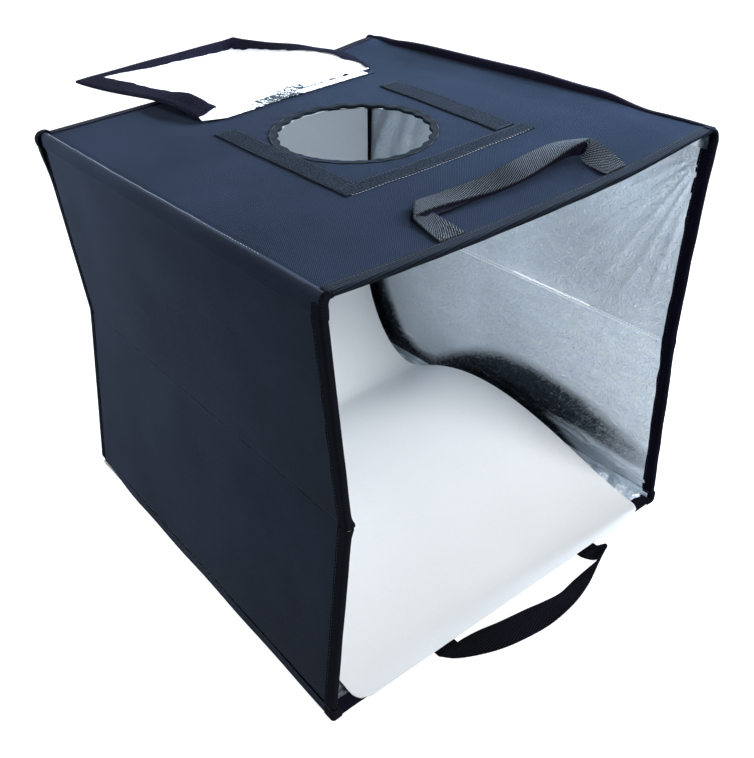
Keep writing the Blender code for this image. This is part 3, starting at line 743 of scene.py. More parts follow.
# The sheet's profile: a hump of a sine raised to a power on the floor, an ellipse quarter up to the
# back, and a straight rise, all smoothed by repeated averaging of neighbours
def backdropProfile():
    y = np.linspace(backdrop["front"], backdrop["sheetY"], backdrop["samples"])
    lead = np.clip((backdrop["floorY"] - y) / (backdrop["floorY"] - backdrop["humpFront"]), 0, 1)
    hump = np.sin(math.pi * lead ** backdrop["lead"]).clip(0) ** backdrop["fullness"]
    reach = np.clip((y - backdrop["floorY"]) / (backdrop["sheetY"] - backdrop["floorY"]), 0, 1)
    sweep = backdrop["rise"] * (1 - np.sqrt(1 - reach**2))
    z = backdrop["rest"] + backdrop["humpHeight"] * hump + sweep
    path = np.concatenate([np.stack([y, z], 1), [[backdrop["sheetY"], backdrop["top"]]]])
    path = respaced(path, backdrop["samples"])
    for _ in range(backdrop["rounds"]):
        path[1:-1] = (path[:-2] + 2 * path[1:-1] + path[2:]) / 4
    return respaced(path, backdrop["rows"])


# Side walls

# The photograph's left wall is pushed in further at its crease than the right one, so each wall's skins
# lean by their own amount
walls = {
    "left": {"side": -1.0, "lean": slack["leanLeft"], "keep": 0.45},
    "right": {"side": 1.0, "lean": slack["leanRight"], "keep": 0.35},
    "low": box["pivotGap"], "high": box["wallLength"] - box["pivotGap"], "reach": 0.2268,
    "coverGrid": (66, 120), "boardGrid": (12, 14), "liningColumns": 190, "swell": 0.0007,
    "swellSize": 0.16, "seamDip": 0.00028, "seamWidth": 0.0035, "fold": 0.0030,
}

# The lining of a wall half: the rows of its stitched hem and of its field, the ridge and the groove
# along the stitches, and the rise and size of its folds
lining = {
    "hem": (0.0100, 24), "field": (0.0122, 78), "ridge": (0.0004, 0.0030, 0.0010),
    "groove": (0.0007, 0.0016, 0.0005), "crumple": (0.00035, 0.020), "swell": (0.0009, 0.055),
    "bunch": (0.055, 0.034), "fan": 0.085, "hang": 0.034, "hangY": (0.05, 0.20), "edge": 0.02,
}


# A point of a wall half: up the half from its lower hinge, along the wall, and below its outer face
def wallPoint(wall, half, up, along, depth, lean=True):
    side = walls[wall]["side"]
    up, along, depth = np.broadcast_arrays(np.asarray(up, float), along, depth)
    share = up / box["wallLength"] if half == "lower" else 1 - up / box["wallLength"]
    if lean:
        calm = np.sin(math.pi * np.clip(share, 0, 1)) * (1 - (along / box["halfDepth"]) ** 4)
        seed = 11 + 3 * (wall == "right") + (half == "upper")
        swell = walls["swell"] * ripple(along, up, walls["swellSize"], seed) * calm
        height = up / box["height"] if half == "lower" else (up + box["creaseZ"]) / box["height"]
        foot = footSpread(side, along) * np.clip(1 - height, 0, 1)
        depth = depth + walls[wall]["lean"] * np.clip(share, 0, 1) + swell - foot
    if half == "lower":
        turn, pin = -side * box["bow"], (side * box["hingeX"], box["hingeZ"])
        out = side * (box["hingeOffset"] - depth)
    else:
        turn, pin = side * box["bow"], (side * box["creaseX"], box["creaseZ"])
        out = -side * (depth + box["pivotGap"])
    x = pin[0] + out * math.cos(turn) + up * math.sin(turn)
    z = pin[1] - out * math.sin(turn) + up * math.cos(turn)
    return np.stack([x, along, z], -1)


def flattenWall(piece, wall, half):
    anchor = wallPoint(wall, half, 0.1, 0.0, layers["board"][0], lean=False)
    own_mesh(piece)


# A cloth piece of a wall half, named and placed after it
def wallPiece(wall, half, label, mid, thickness, finish, hides, veil=None):
    piece = clothPiece(wall + half.capitalize() + label, mid, thickness, finish, f"{wall}_{half}",
                       (f"{wall}_{half}_{hides}",), veil)
    flattenWall(piece, wall, half)


# Rays of shallow wrinkles that fan out from a corner of the lining and die away from it
def fanWrinkles(a, b, corner, size):
    da, db = a - corner[0], b - corner[1]
    angle = np.arctan2(db, da)
    reach = np.hypot(da, db)
    rays = np.sin(angle * 17 + 0.8 * np.sin(angle * 5)) ** 2 + 0.6 * np.sin(angle * 41 + 1.0) ** 2
    return rays * np.exp(-reach / size) * ease(reach, 0.0, 0.03)


# Beside the backdrop the foil is painted dark where it would mirror the sheet's dark underside: a band of
# painted reflection between two distances from the sheet, given from the front of the box to its back. Dusk
# is painted shade that grows towards the back, and shade is painted shade towards the front of the right
# upper half; the dark line follows a wrinkle
paintedShadeAndTear = {
    "y": (-0.228, -0.200, -0.130, -0.060, 0.000, 0.060, 0.100, 0.140, 0.180, 0.225),
    "near": (0.040, 0.036, 0.022, 0.000, 0.000, 0.000, 0.000, 0.000, 0.000, 0.000),
    "far": (0.056, 0.060, 0.058, 0.048, 0.036, 0.017, 0.008, 0.020, 0.026, 0.020),
    "strength": (0.25, 0.55, 0.90, 1.00, 1.00, 1.00, 0.90, 1.00, 1.00, 1.00),
    "blur": 0.015, "top": 0.175, "topBlur": 0.05,
    "dusk": 0.24, "duskY": (-0.02, 0.16), "shade": 0.20, "shadeY": (-0.02, 0.14),
    "darkLineAngle": -0.92, "darkLineWidth": 0.0011, "darkLine": 0.42,
}


# The painted band of reflection beside the sheet, and the painted shade that deepens towards the back
def paintedShadeVeil(points):
    path, y = backdropProfile(), points[..., 1]
    gap = np.hypot(y[..., None] - path[:, 0], points[..., 2, None] - path[:, 1]).min(axis=-1)
    near, far, strength = (np.interp(y, paintedShadeAndTear["y"], paintedShadeAndTear[key]) for key in ("near", "far", "strength"))
    blur = paintedShadeAndTear["blur"]
    veil = strength * ease(gap, near - blur, near) * (1 - ease(gap, far - blur, far + blur))
    veil = veil * (1 - ease(points[..., 2], paintedShadeAndTear["top"] - paintedShadeAndTear["topBlur"], paintedShadeAndTear["top"]))
    return np.maximum(veil, paintedShadeAndTear["dusk"] * ease(y, *paintedShadeAndTear["duskY"]))


# A dark line in the foil along the sharpest of the wrinkles that leave the upper front corner
def darkLineVeil(a, b, corner):
    da, db = a - corner[0], b - corner[1]
    reach, angle = np.hypot(da, db), np.arctan2(db, da)
    line = np.exp(-(((angle - paintedShadeAndTear["darkLineAngle"]) * reach) / paintedShadeAndTear["darkLineWidth"]) ** 2)
    return paintedShadeAndTear["darkLine"] * line * ease(reach, 0.006, 0.02) * (1 - ease(reach, 0.075, 0.105))


# The lining's folds: crumples and slow swells all over, a fan from the upper front corner and
# hanging folds at the back of an upper half, and bunching along the foot of a lower one
def liningFolds(wall, half, up, along):
    seed = 40 + 2 * (wall == "right") + (half == "upper")
    (rise, size), (swell, swellSize) = lining["crumple"], lining["swell"]
    folds = rise * crumple(along, up, size, seed)
    folds = folds + swell * np.abs(ripple(along * 0.45, up * 2.0, swellSize, seed + 5))
    if half == "lower":
        reach, size = lining["bunch"]
        low = 1 - ease(up, 0.0, reach)
        return folds + walls["fold"] * low * np.abs(ripple(along * 0.8, up * 2.6, size, seed + 9))
    corner = (-walls["reach"], box["wallLength"])
    folds = folds + walls["fold"] * fanWrinkles(along, up, corner, lining["fan"])
    lean = math.pi * (along + 0.25 * up) / lining["hang"]
    hang = np.sin(lean + 1.1 * ripple(along, up, 0.1, 3)) ** 2
    return folds + walls["fold"] * ease(along, *lining["hangY"]) * hang


def makeWallSkins(wall, half):
    low, high, reach, length = walls["low"], walls["high"], walls["reach"], box["wallLength"]
    for label, finish in (("cover", "wall"), ("board", "board")):
        rows, columns = walls[label + "Grid"]
        up = np.linspace(low, high, rows)[:, None]
        along = np.linspace(-reach, reach, columns)[None]
        depth, thick = layers[label]
        if label == "cover":
            seam = length - up if half == "upper" else up
            depth = depth + walls["seamDip"] * np.exp(-seam / walls["seamWidth"])
        mid = wallPoint(wall, half, up, along, depth)
        wallPiece(wall, half, label.capitalize(), mid, thick, finish, label)

    # the lining's rows crowd towards the crease, where it is stitched down in a groove
    (hem, hemRows), (field, fieldRows) = lining["hem"], lining["field"]
    hem = np.concatenate([np.linspace(low, hem, hemRows), np.linspace(field, high, fieldRows)])
    up = (hem if half == "upper" else length - hem[::-1])[:, None]
    along = np.linspace(-reach, reach, walls["liningColumns"])[None]
    inset = np.minimum(np.minimum(up, length - up), np.minimum(along + reach, reach - along))
    hem = up if half == "upper" else length - up
    ridge, groove = (rise * np.exp(-((hem - place) / width) ** 2)
                     for rise, place, width in (lining["ridge"], lining["groove"]))
    depth, thick = layers["lining"]
    folds = liningFolds(wall, half, up, along) * ease(inset, 0.0, lining["edge"])
    depth = depth + folds + (ridge - groove)
    mid = wallPoint(wall, half, up, along, depth)
    # The lining's veil: painted reflection and painted shade beside the sheet, a dark line along a wrinkle,
    # and on the right upper half painted shade towards the front
    veil = paintedShadeVeil(mid)
    if wall == "right" and half == "upper":
        veil = np.maximum(veil, darkLineVeil(along, up, (-reach, length)))
        veil = np.maximum(veil, paintedShadeAndTear["shade"] * ease(-along, *paintedShadeAndTear["shadeY"]))
    wallPiece(wall, half, "Lining", mid, thick, "foil", "lining", veil)


# The tapes that bind every edge. Shoulder is how far each wall's tape stands out at the top
binding = {
    "leaf": 0.0110, "backLeaf": 0.0080, "thickness": 0.0008, "round": 0.0021, "points": 26,
    "stations": 78, "crossStations": 170, "crossLimit": 0.2098, "wander": 0.0006, "swell": 0.0005,
    "pucker": 0.00016, "stitchPitch": 0.0052, "bunch": 0.0012, "leftBunch": 0.0026,
    "knuckle": 0.006, "knuckleOut": 0.0008, "shoulderReach": 0.026,
    "shoulder": {"leftfront": 0.0002, "leftback": 0.0032, "rightfront": 0.0016, "rightback": 0.0010},
}


# The binding's section: a leaf on the outer face, a rounded web round the edge, a leaf inside;
# as (inset from the edge, depth below the outer face)
def bindingSection(leaf):
    half, bend, depth = binding["thickness"] / 2, binding["round"], box["panel"]
    corner = np.linspace(0, math.pi / 2, 6)
    outer = [(leaf, half), ((leaf + bend) / 2, half * 0.9)]
    outer += [(half + bend - bend * math.sin(t), half + bend - bend * math.cos(t)) for t in corner]
    inner = [(half + bend - bend * math.cos(t), depth - half - bend + bend * math.sin(t)) for t in corner]
    inner += [((leaf + bend) / 2, depth - half * 0.9), (leaf, depth - half)]
    return respaced(outer + inner, binding["points"])


# Waviness of a sewn tape: its leaves wander, its web swells between stitches
def wavySection(section, stations, seed):
    inset = section[None, :, 0] * np.ones((len(stations), 1))
    depth = section[None, :, 1] * np.ones((len(stations), 1))
    leaf = ease(inset, 0.004, 0.011)
    along = stations[:, None]
    sign = np.where(np.arange(section.shape[0]) < section.shape[0] / 2, -1.0, 1.0)[None]
    inset = inset + binding["wander"] * leaf * ripple(along, sign * 0.5, 0.03, seed)
    web = 1 - ease(inset, 0.0, 0.003)
    inset = inset - binding["swell"] * web * ripple(along, depth, 0.045, seed + 1)
    turns = math.tau * along / binding["stitchPitch"]
    pucker = binding["pucker"] * np.cos(turns) * ease(inset, 0.003, 0.008)
    return inset, depth + sign * np.abs(pucker)


# The tape bunches into a knuckle at the crease, more so on the left wall's upper half
def makeWallBindings(wall, half):
    stations = np.linspace(walls["low"], walls["high"], binding["stations"])
    hem = stations if half == "upper" else box["wallLength"] - stations
    knuckle = np.exp(-(hem / binding["knuckle"]) ** 2)[:, None]
    bunch = binding["leftBunch" if (wall, half) == ("left", "upper") else "bunch"]
    for end, toward, leaf in (("front", -1.0, binding["leaf"]), ("back", 1.0, binding["backLeaf"])):
        seed = 60 + 7 * (wall == "right") + 3 * (half == "upper") + (end == "back")
        inset, depth = wavySection(bindingSection(leaf), stations, seed)
        inner = ease(depth, 0.003, 0.007)
        depth = depth + bunch * knuckle * inner
        inset = inset - binding["knuckleOut"] * knuckle * (1 - ease(inset, 0.0, 0.004))
        if half == "upper":
            rise = np.exp(-((box["wallLength"] - stations) / binding["shoulderReach"]) ** 2)
            shoulder = binding["shoulder"][wall + end] * rise[:, None]
            depth = depth - shoulder * (1 - inner)
            inset = inset - 0.4 * shoulder * (1 - ease(inset, 0.0, 0.006))
        mid = wallPoint(wall, half, stations[:, None], toward * (box["halfDepth"] - inset), depth)
        wallPiece(wall, half, end.capitalize() + "Binding", mid, binding["thickness"],
                  "wallTape" if wall == "left" else "binding", f"{end}_binding")


for wall in ("left", "right"):
    for half in ("lower", "upper"):
        makeWallSkins(wall, half)
        makeWallBindings(wall, half)
print("side walls dressed")


# Top panel

bodyOf = {"top": "top", "bottom": "base"}

top = {
    "coverHalfX": 0.2150, "boardHalfX": 0.2165, "boardHalfY": 0.2100, "liningHalfX": 0.2180,
    "coverGrid": (64, 70), "boardGrid": (10, 16), "liningGrid": (90, 70), "face": 0.0011,
    "portX": 0.0024, "portY": 0.0045, "portHole": 0.0733, "boardHole": 0.0850,
    "lift": 0.0005, "rightRise": 0.0040, "rightReach": 0.0035,
    "pinch": 0.30, "rightPinch": 0.32, "portPinch": 0.72, "portSink": 0.0010,
    "gathers": 24, "gather": 0.00030, "gatherReach": 0.0835, "gatherWidth": 0.006,
    "seam": 0.0009, "seamX": 0.2128, "seamWidth": 0.0012, "crumple": 0.0005, "swell": 0.0010,
}


def frontPinch(x):
    return top["pinch"] + top["rightPinch"] * ease(x, 0.06, 0.17)


# How much thinner the panel gets at its front edge and round the port, where no board fills it
def topPinch(x, y):
    front = 1 - ease(y + box["halfDepth"], 0.003, 0.020)
    reach = np.hypot(x - top["portX"], y - top["portY"])
    rim = 1 - ease(reach, top["portHole"], top["boardHole"])
    return 1 - frontPinch(x) * front, top["portPinch"] * rim


# How far the cover stands off its board: slow swells, a rise towards the slack right edge, gathers
# that fan out round the port, and a dip at the left seam
def topRelief(x, y):
    inset = np.minimum(top["coverHalfX"] - np.abs(x), box["skinHalfY"] - np.abs(y))
    calm = ease(inset, 0.0, 0.03)
    swell = top["lift"] * (1 + ripple(x, y, 0.14, 5)) * calm
    rise = top["rightRise"] * ease(x, 0.175, 0.216) * bandFullness(y)
    dx, dy = x - top["portX"], y - top["portY"]
    reach = np.hypot(dx, dy)
    angle = np.arctan2(dy, dx)
    gather = top["gather"] * (1 + np.cos(top["gathers"] * angle + np.sin(3 * angle)))
    gather = gather * np.exp(-np.abs(reach - top["gatherReach"]) / top["gatherWidth"])
    seam = top["seam"] * np.exp(-((x + top["seamX"]) / top["seamWidth"]) ** 2)
    return swell + rise + gather - seam


# Share of the right band's slack along its length: it dies away towards the front sooner
def bandFullness(y):
    share = np.clip(np.abs(y) / box["halfDepth"], 0, 1)
    towardFront = 1 - 0.28 * ease(share, 0.0, 0.40) - 0.72 * ease(share, 0.42, 0.74)
    return np.where(np.asarray(y) < 0, towardFront, 1 - share**6)


# Height of a point of the top panel at a depth below its outer face
def topLevel(x, y, depth):
    front, rim = topPinch(x, y)
    return box["height"] - depth * front * (1 - rim) - top["portSink"] * rim + topWarp(x, y)


# Height of the cover's face
def coverLevel(x, y):
    return box["height"] - top["face"] + topWarp(x, y) + topRelief(x, y)


# Rings between the port's hole and the panel's edge: each point slides in a straight line from
# the circle to the rectangle, and the rings crowd near the hole
def portedGrid(halfX, halfY, hole, rings, perSide):
    turns = np.linspace(0, 4, 4 * perSide, endpoint=False)
    side = turns.astype(int)
    step = (turns - side) * 2 - 1
    x = np.choose(side, [step, np.ones_like(step), -step, -np.ones_like(step)]) * halfX
    y = np.choose(side, [-np.ones_like(step), step, np.ones_like(step), -step]) * halfY
    dx, dy = x - top["portX"], y - top["portY"]
    reach = np.hypot(dx, dy)
    t = np.linspace(0, 1, rings)[:, None] ** 1.25
    radius = hole + (reach - hole) * t
    return top["portX"] + dx / reach * radius, top["portY"] + dy / reach * radius


def makeTopPanel():
    x, y = portedGrid(top["coverHalfX"], box["skinHalfY"], top["portHole"], *top["coverGrid"])
    z = topLevel(x, y, layers["cover"][0]) + topRelief(x, y)
    x = x + top["rightReach"] * ease(x, 0.15, 0.215) * bandFullness(y)
    clothPiece("topCover", spots(x, y, z), layers["cover"][1], "nylon", "top", ("top_cover",),
               closedColumns=True, flat=np.stack([x, y], -1))

    x, y = portedGrid(top["boardHalfX"], top["boardHalfY"], top["boardHole"], *top["boardGrid"])
    mid = spots(x, y, topLevel(x, y, layers["board"][0]))
    clothPiece("topBoard", mid, layers["board"][1], "board", "top", ("top_board",), closedColumns=True)

    x, y = portedGrid(top["liningHalfX"], box["skinHalfY"], top["portHole"], *top["liningGrid"])
    inset = np.minimum(top["liningHalfX"] - np.abs(x), box["skinHalfY"] - np.abs(y))
    folds = top["crumple"] * crumple(x, y, 0.022, 71) + top["swell"] * np.abs(ripple(x, y, 0.07, 75))
    z = topLevel(x, y, layers["lining"][0]) - folds * ease(inset, 0, 0.02)
    clothPiece("topLining", spots(x, y, z), layers["lining"][1], "foil", "top", ("top_lining",),
               closedColumns=True, flat=np.stack([x, y], -1))


# Binding of the front or back edge of the top or bottom panel, between its corner caps
def makeCrossBinding(panel, end, finish):
    stations = np.linspace(-binding["crossLimit"], binding["crossLimit"], binding["crossStations"])
    seed = 90 + 5 * (panel == "top") + (end == "back")
    inset, depth = wavySection(bindingSection(binding["leaf"]), stations, seed)
    x = stations[:, None] * np.ones_like(inset)
    y = (-1.0 if end == "front" else 1.0) * (box["halfDepth"] - inset)
    if panel == "top":
        z = topLevel(x, y, depth) + topRelief(x, y) * ease(inset, 0.004, 0.011) * (depth < 0.0037)
    else:
        x, z = bottomSpread(x, y), depth
    clothPiece(f"{panel}{end.capitalize()}Binding", spots(x, y, z), binding["thickness"], finish,
               bodyOf[panel], (f"{panel}_{end}_binding",))


makeTopPanel()
makeCrossBinding("top", "front", "frontTape")
makeCrossBinding("top", "back", "binding")
print("top panel dressed")

# Corner caps: where the tape turns from a wall's edge to a panel's edge it is folded double

caps = {
    "stand": 0.0010, "stations": 44, "start": 0.0139, "topStart": 0.4098, "limit": 0.2092, "full": 0.30,
    "above": 0.0004, "extra": 0.0003, "bend": {"top": 0.0085, "bottom": 0.0040},
    "leaf": {"topfront": 0.0100, "topback": 0.0055, "bottomfront": 0.0110, "bottomback": 0.0080},
    "puff": {"topfront": 0.0005, "topback": 0.0038, "bottomfront": 0.0004, "bottomback": 0.0002},
    "draw": {"front": 0.0, "back": 0.0034},
}


# Along the cap's run: straight up the wall's edge, round the bend, and on over the panel's edge
def makeCornerCap(level, wall, end):
    side = walls[wall]["side"]
    toward = -1.0 if end == "front" else 1.0
    bend = caps["bend"][level]
    rise = box["height"] - caps["topStart"] if level == "top" else caps["start"]
    straight = rise - bend
    turnLength = bend * math.pi / 2
    total = straight + turnLength + (box["halfWidth"] - bend - caps["limit"])
    s = np.linspace(0, total, caps["stations"])[:, None]
    angle = np.clip((s - straight) / bend, 0, math.pi / 2)
    out = box["halfWidth"] - bend + bend * np.cos(angle) - np.clip(s - straight - turnLength, 0, None)
    climb = np.minimum(s, straight) + bend * np.sin(angle)
    seed = 300 + 11 * (level == "top") + 5 * (wall == "left") + 3 * (end == "front")
    inset, depth = wavySection(bindingSection(caps["leaf"][level + end]), s[:, 0], seed)
    blend = ease(s, straight, straight + turnLength)
    rounded = np.sin(math.pi * (caps["full"] + (1 - caps["full"]) * s / total)).clip(0) ** 0.7
    rounded = rounded * ease(s, -0.0012, 0.0028)
    puff = caps["puff"][level + end] * rounded * (1 + 0.35 * ripple(s, inset, 0.02, seed))
    outerShare = 1 - depth / box["panel"]
    inset = inset - caps["stand"] - 0.7 * puff * (1 - ease(inset, 0.0, 0.004))
    y = toward * (box["halfDepth"] - inset)
    squeeze = 1.0
    if level == "top" and end == "front":
        squeeze = 1 - frontPinch(side * caps["limit"]) * blend
    lift = puff * outerShare - depth * squeeze + caps["above"] * outerShare
    x = out + lift * np.cos(angle)
    up = climb + lift * np.sin(angle)
    if level == "top":
        z = box["height"] - rise + up + blend * topWarp(side * caps["limit"], y)
    else:
        x = x + footSpread(side, y) - caps["draw"][end]
        z = np.maximum(rise - up, 0.0006 + 0.0001 * outerShare)
    finish = "wallTape" if wall == "left" and end == "front" else "binding"
    clothPiece(f"{level}{wall.capitalize()}{end.capitalize()}Cap", spots(side * x, y, z),
               binding["thickness"] + caps["extra"], finish, bodyOf[level])


for level in ("top", "bottom"):
    for wall in ("left", "right"):
        for end in ("front", "back"):
            makeCornerCap(level, wall, end)
print("corner caps folded")

# Bands that the walls fold about, as sections of (outward from the box's centre, up)

bands = {
    "topLeft": [(0.2126, 0.4254), (0.2152, 0.4259), (0.2176, 0.4253), (0.2194, 0.4234),
                (0.2203, 0.4200), (0.2202, 0.4158), (0.2192, 0.4121)],
    "topEnd": [(0.2128, 0.4250), (0.2148, 0.4256), (0.2168, 0.4250), (0.2184, 0.4234),
               (0.2192, 0.4200), (0.2193, 0.4158), (0.2194, 0.4121)],
    "topRight": [(0.2160, 0.4258), (0.2186, 0.4314), (0.2222, 0.4346), (0.2260, 0.4346),
                 (0.2290, 0.4312), (0.2298, 0.4256), (0.2284, 0.4198), (0.2240, 0.4142),
                 (0.2200, 0.4121)],
    "bottom": [(0.2198, 0.0141), (0.2204, 0.0110), (0.2204, 0.0060), (0.2190, 0.0022),
               (0.2150, 0.0008)],
    "points": 34, "stations": 130, "end": 0.2250, "drawnIn": 0.016, "thickness": 0.0010,
    "wander": 0.0006,
}


# A band keeps its section in the middle and draws in to a plain edge at both ends
def makeBand(level, wall, section, plain, finish):
    name, side = f"{level}{wall.capitalize()}Band", walls[wall]["side"]
    section, plain = (respaced(smoothPath(bands[key], 8), bands["points"]) for key in (section, plain))
    y = np.linspace(-bands["end"], bands["end"], bands["stations"])[:, None]
    near = ease(bands["end"] - np.abs(y), 0.0, bands["drawnIn"])
    full = (bandFullness(y) if name == "topRightBand" else near)[..., None]
    shape = plain[None] + (section - plain)[None] * full
    wander = ripple(y, np.linspace(0, 0.02, bands["points"])[None], 0.07, len(name))
    wander = bands["wander"] * wander * near
    out = side * (shape[..., 0] + wander)
    z = shape[..., 1] + wander * 0.5
    if level == "top":
        z = z + topWarp(out, y) * ease(shape[..., 1], 0.4125, 0.4240)
    else:
        out = out + side * (footSpread(side, y) - caps["draw"]["back"] * ease(y, 0.13, bands["end"]))
    clothPiece(name, spots(out, y, z), bands["thickness"], finish, bodyOf[level],
               (f"{level}_{wall}_band",))


makeBand("top", "left", "topLeft", "topEnd", "bandNylon")
makeBand("top", "right", "topRight", "topEnd", "darkBand")
makeBand("bottom", "left", "bottom", "bottom", "wall")
makeBand("bottom", "right", "bottom", "bottom", "wall")

hingeFoil = {"top": (0.4121, 0.4190), "bottom": (0.0072, 0.0144), "out": 0.2118, "end": 0.2245,
             "grid": (9, 130), "thickness": 0.0005, "bareAndShaded": (0.0065, 0.0080), "loose": 0.0004,
             "foot": 0.0020}


# The lining of the front left foot lies in the shade: 1 there, fading towards the back
def footShade(y):
    return 0.75 * (1 - ease(y, -0.215, -0.150))


# Inside, the lining goes on across each hinge as a loose strip of foil; on the top hinges its ends, in the
# corners, are painted dark as shade
def makeHingeLining(level, wall):
    side = walls[wall]["side"]
    low, high = hingeFoil[level]
    columns, rows = hingeFoil["grid"]
    y = np.linspace(-hingeFoil["end"], hingeFoil["end"], rows)[:, None]
    t = np.linspace(0, 1, columns)[None]
    z = low + (high - low) * t
    loose = np.abs(ripple(y, z * 3, 0.03, 210 + len(level) + len(wall)))
    out = hingeFoil["out"] - hingeFoil["loose"] * loose
    veil = None
    if level == "bottom":
        out = out + footSpread(side, y) + hingeFoil["foot"] * ease(t, 0.45, 1.0)
        if wall == "left":
            veil = footShade(y)
    else:
        z = z + topWarp(side * out, y) * t
        # painted shade at the strip's ends, in the corners
        veil = 1 - ease(hingeFoil["end"] - np.abs(y), *hingeFoil["bareAndShaded"])
    clothPiece(f"{level}{wall.capitalize()}HingeLining", spots(side * out, y, z), hingeFoil["thickness"],
               "foil", bodyOf[level], veil=veil)


for level in ("top", "bottom"):
    for wall in ("left", "right"):
        makeHingeLining(level, wall)
print("hinge bands made")

# Port

port = {"radius": 0.0716, "leaf": 0.0800, "scallop": 0.0012, "pucker": 0.00022, "stations": 336,
        "thickness": 0.0008, "above": 0.0004, "below": 0.0006, "settle": 0.0008}


# The port's tape: a ring whose section goes over the rim from the outer leaf to the inner one;
# its rim is scalloped and its leaves pucker in step with the gathers
def makePortBinding():
    turn = np.linspace(0, math.tau, port["stations"], endpoint=False)[:, None]
    pull = top["gathers"] * turn + 0.7 * np.sin(3 * turn) + 0.4 * np.sin(7 * turn + 1)
    section = bindingSection(port["leaf"] - port["radius"])
    inset = section[None, :, 0] + 0 * turn
    depth = section[None, :, 1] + 0 * turn
    rimShare = 1 - ease(inset, 0.0, 0.004)
    outer = 1 - ease(depth, 0.002, 0.006)
    leaf = ease(inset, 0.001, 0.004)
    radius = port["radius"] + inset + port["scallop"] * np.cos(pull) * rimShare
    pucker = port["pucker"] * (1 + np.cos(pull)) * leaf * outer
    x = top["portX"] + radius * np.cos(turn)
    y = top["portY"] + radius * np.sin(turn)
    z = topLevel(x, y, depth) + pucker + port["above"] * outer - port["below"] * (1 - outer) * leaf
    z = z - port["settle"] * outer * ease(inset, 0.003, 0.0084)
    z = z + topRelief(x, y) * outer * ease(inset, 0.004, 0.008)
    clothPiece("portBinding", spots(x, y, z), port["thickness"], "portTape", "top", ("port_binding",),
               closedRows=True)


makePortBinding()
print("port bound")

# Hook-and-loop strips, and the strip that the flap's fold is sewn to

strips = {
    "leftHookStrip": {"node": "left_hook_strip", "x": (-0.0990, -0.0750), "y": (-0.0897, 0.0890),
                      "seed": 20},
    "rightHookStrip": {"node": "right_hook_strip", "x": (0.1080, 0.1320), "y": (-0.0870, 0.0880),
                       "seed": 22},
    "frontHookStrip": {"node": "front_hook_strip", "x": (-0.0990, 0.1240), "y": (-0.1070, -0.0890),
                       "seed": 24},
    "flapFoldStrip": {"node": "flap_fold_strip", "x": (-0.0870, 0.1350), "y": (0.1265, 0.1347),
                      "seed": 31},
    "pitch": 0.0016, "wander": 0.0006, "thickness": 0.0007, "foldThickness": 0.0008,
    "gap": 0.0001, "plump": 0.0003, "plumpWidth": 0.0025,
    "lean": 0.0125, "leanX": (0.080, 0.105), "leanFrom": 0.0880, "leanLength": 0.1750,
}
hookStrips = ("leftHookStrip", "rightHookStrip", "frontHookStrip")


# The right strip was sewn askew: it runs to the left towards the front
def stripLean(x, y):
    share = np.clip((strips["leanFrom"] - y) / strips["leanLength"], 0, 1)
    return x - strips["lean"] * ease(x, *strips["leanX"]) * share


# A strip lies on the cover and follows its relief; its sides wander a little
def makeStrip(name, finish, thickness):
    look = strips[name]
    (lowX, highX), (lowY, highY) = look["x"], look["y"]
    columns, rows = (max(int((high - low) / strips["pitch"]), 10) for low, high in (look["x"], look["y"]))
    s, t = spread(0, 1, columns, 0, 1, rows)
    x, y = lowX + (highX - lowX) * s, lowY + (highY - lowY) * t
    if name == "rightHookStrip":
        x = stripLean(x, y)
    wanderX = strips["wander"] * ripple(y, x * 0.2, 0.06, look["seed"])
    wanderY = strips["wander"] * ripple(x, y * 0.2, 0.06, look["seed"] + 1)
    x, y = x + wanderX, y + wanderY
    edge = np.minimum(np.minimum(s, 1 - s) * (highX - lowX), np.minimum(t, 1 - t) * (highY - lowY))
    plump = strips["plump"] * ease(edge, 0.0, strips["plumpWidth"])
    z = coverLevel(x, y) + thickness / 2 + strips["gap"] + plump
    clothPiece(name, spots(x, y, z), thickness, finish, "top", (look["node"],))


for name in hookStrips:
    makeStrip(name, "pile", strips["thickness"])
makeStrip("flapFoldStrip", "nylon", strips["foldThickness"])
print("hook-and-loop strips laid")

# Bottom panel

bottom = {
    "coverHalfX": 0.2165, "coverHalfY": 0.2168, "coverCells": 60, "ground": 0.0005, "rim": 0.0011,
    "liningHalfX": 0.2140, "liningCells": 150, "level": 0.0061, "crumple": 0.0003, "bunch": 0.0052,
}


# The cover lies on the ground and turns up at its rim; the lining is crumpled, and bunched up where
# it meets the walls
def makeBottomPanel():
    halfX, halfY, count = bottom["coverHalfX"], box["skinHalfY"], bottom["coverCells"]
    x, y = spread(-halfX, halfX, count, -halfY, halfY, count)
    inset = np.minimum(halfX - np.abs(x), bottom["coverHalfY"] - np.abs(y))
    z = bottom["ground"] + bottom["rim"] * (1 - ease(inset, -0.001, 0.006))
    clothPiece("bottomCover", spots(bottomSpread(x, y), y, z), layers["cover"][1], "wall", "base",
               ("bottom_cover",))
    halfX, count = bottom["liningHalfX"], bottom["liningCells"]
    x, y = spread(-halfX, halfX, count, -halfY, halfY, count)
    inset = np.minimum(halfX - np.abs(x), halfY - np.abs(y))
    side = ease(np.abs(x), 0.198, 0.208) * ease(halfX - np.abs(x), 0.0, 0.004)
    folds = bottom["crumple"] * crumple(x, y, 0.02, 81) * ease(inset, 0, 0.01)
    bunch = bottom["bunch"] * np.abs(ripple(x * 1.4, y, 0.045, 83)) * ease(halfY - np.abs(y), 0, 0.02)
    mid = spots(bottomSpread(x, y), y, bottom["level"] + folds + side * bunch)
    clothPiece("bottomLining", mid, layers["lining"][1], "foil", "base", ("bottom_lining",),
               footShade(y) * (1 - ease(x, -0.20, -0.10)))


makeBottomPanel()
makeCrossBinding("bottom", "front", "binding")
makeCrossBinding("bottom", "back", "binding")
print("bottom panel dressed")

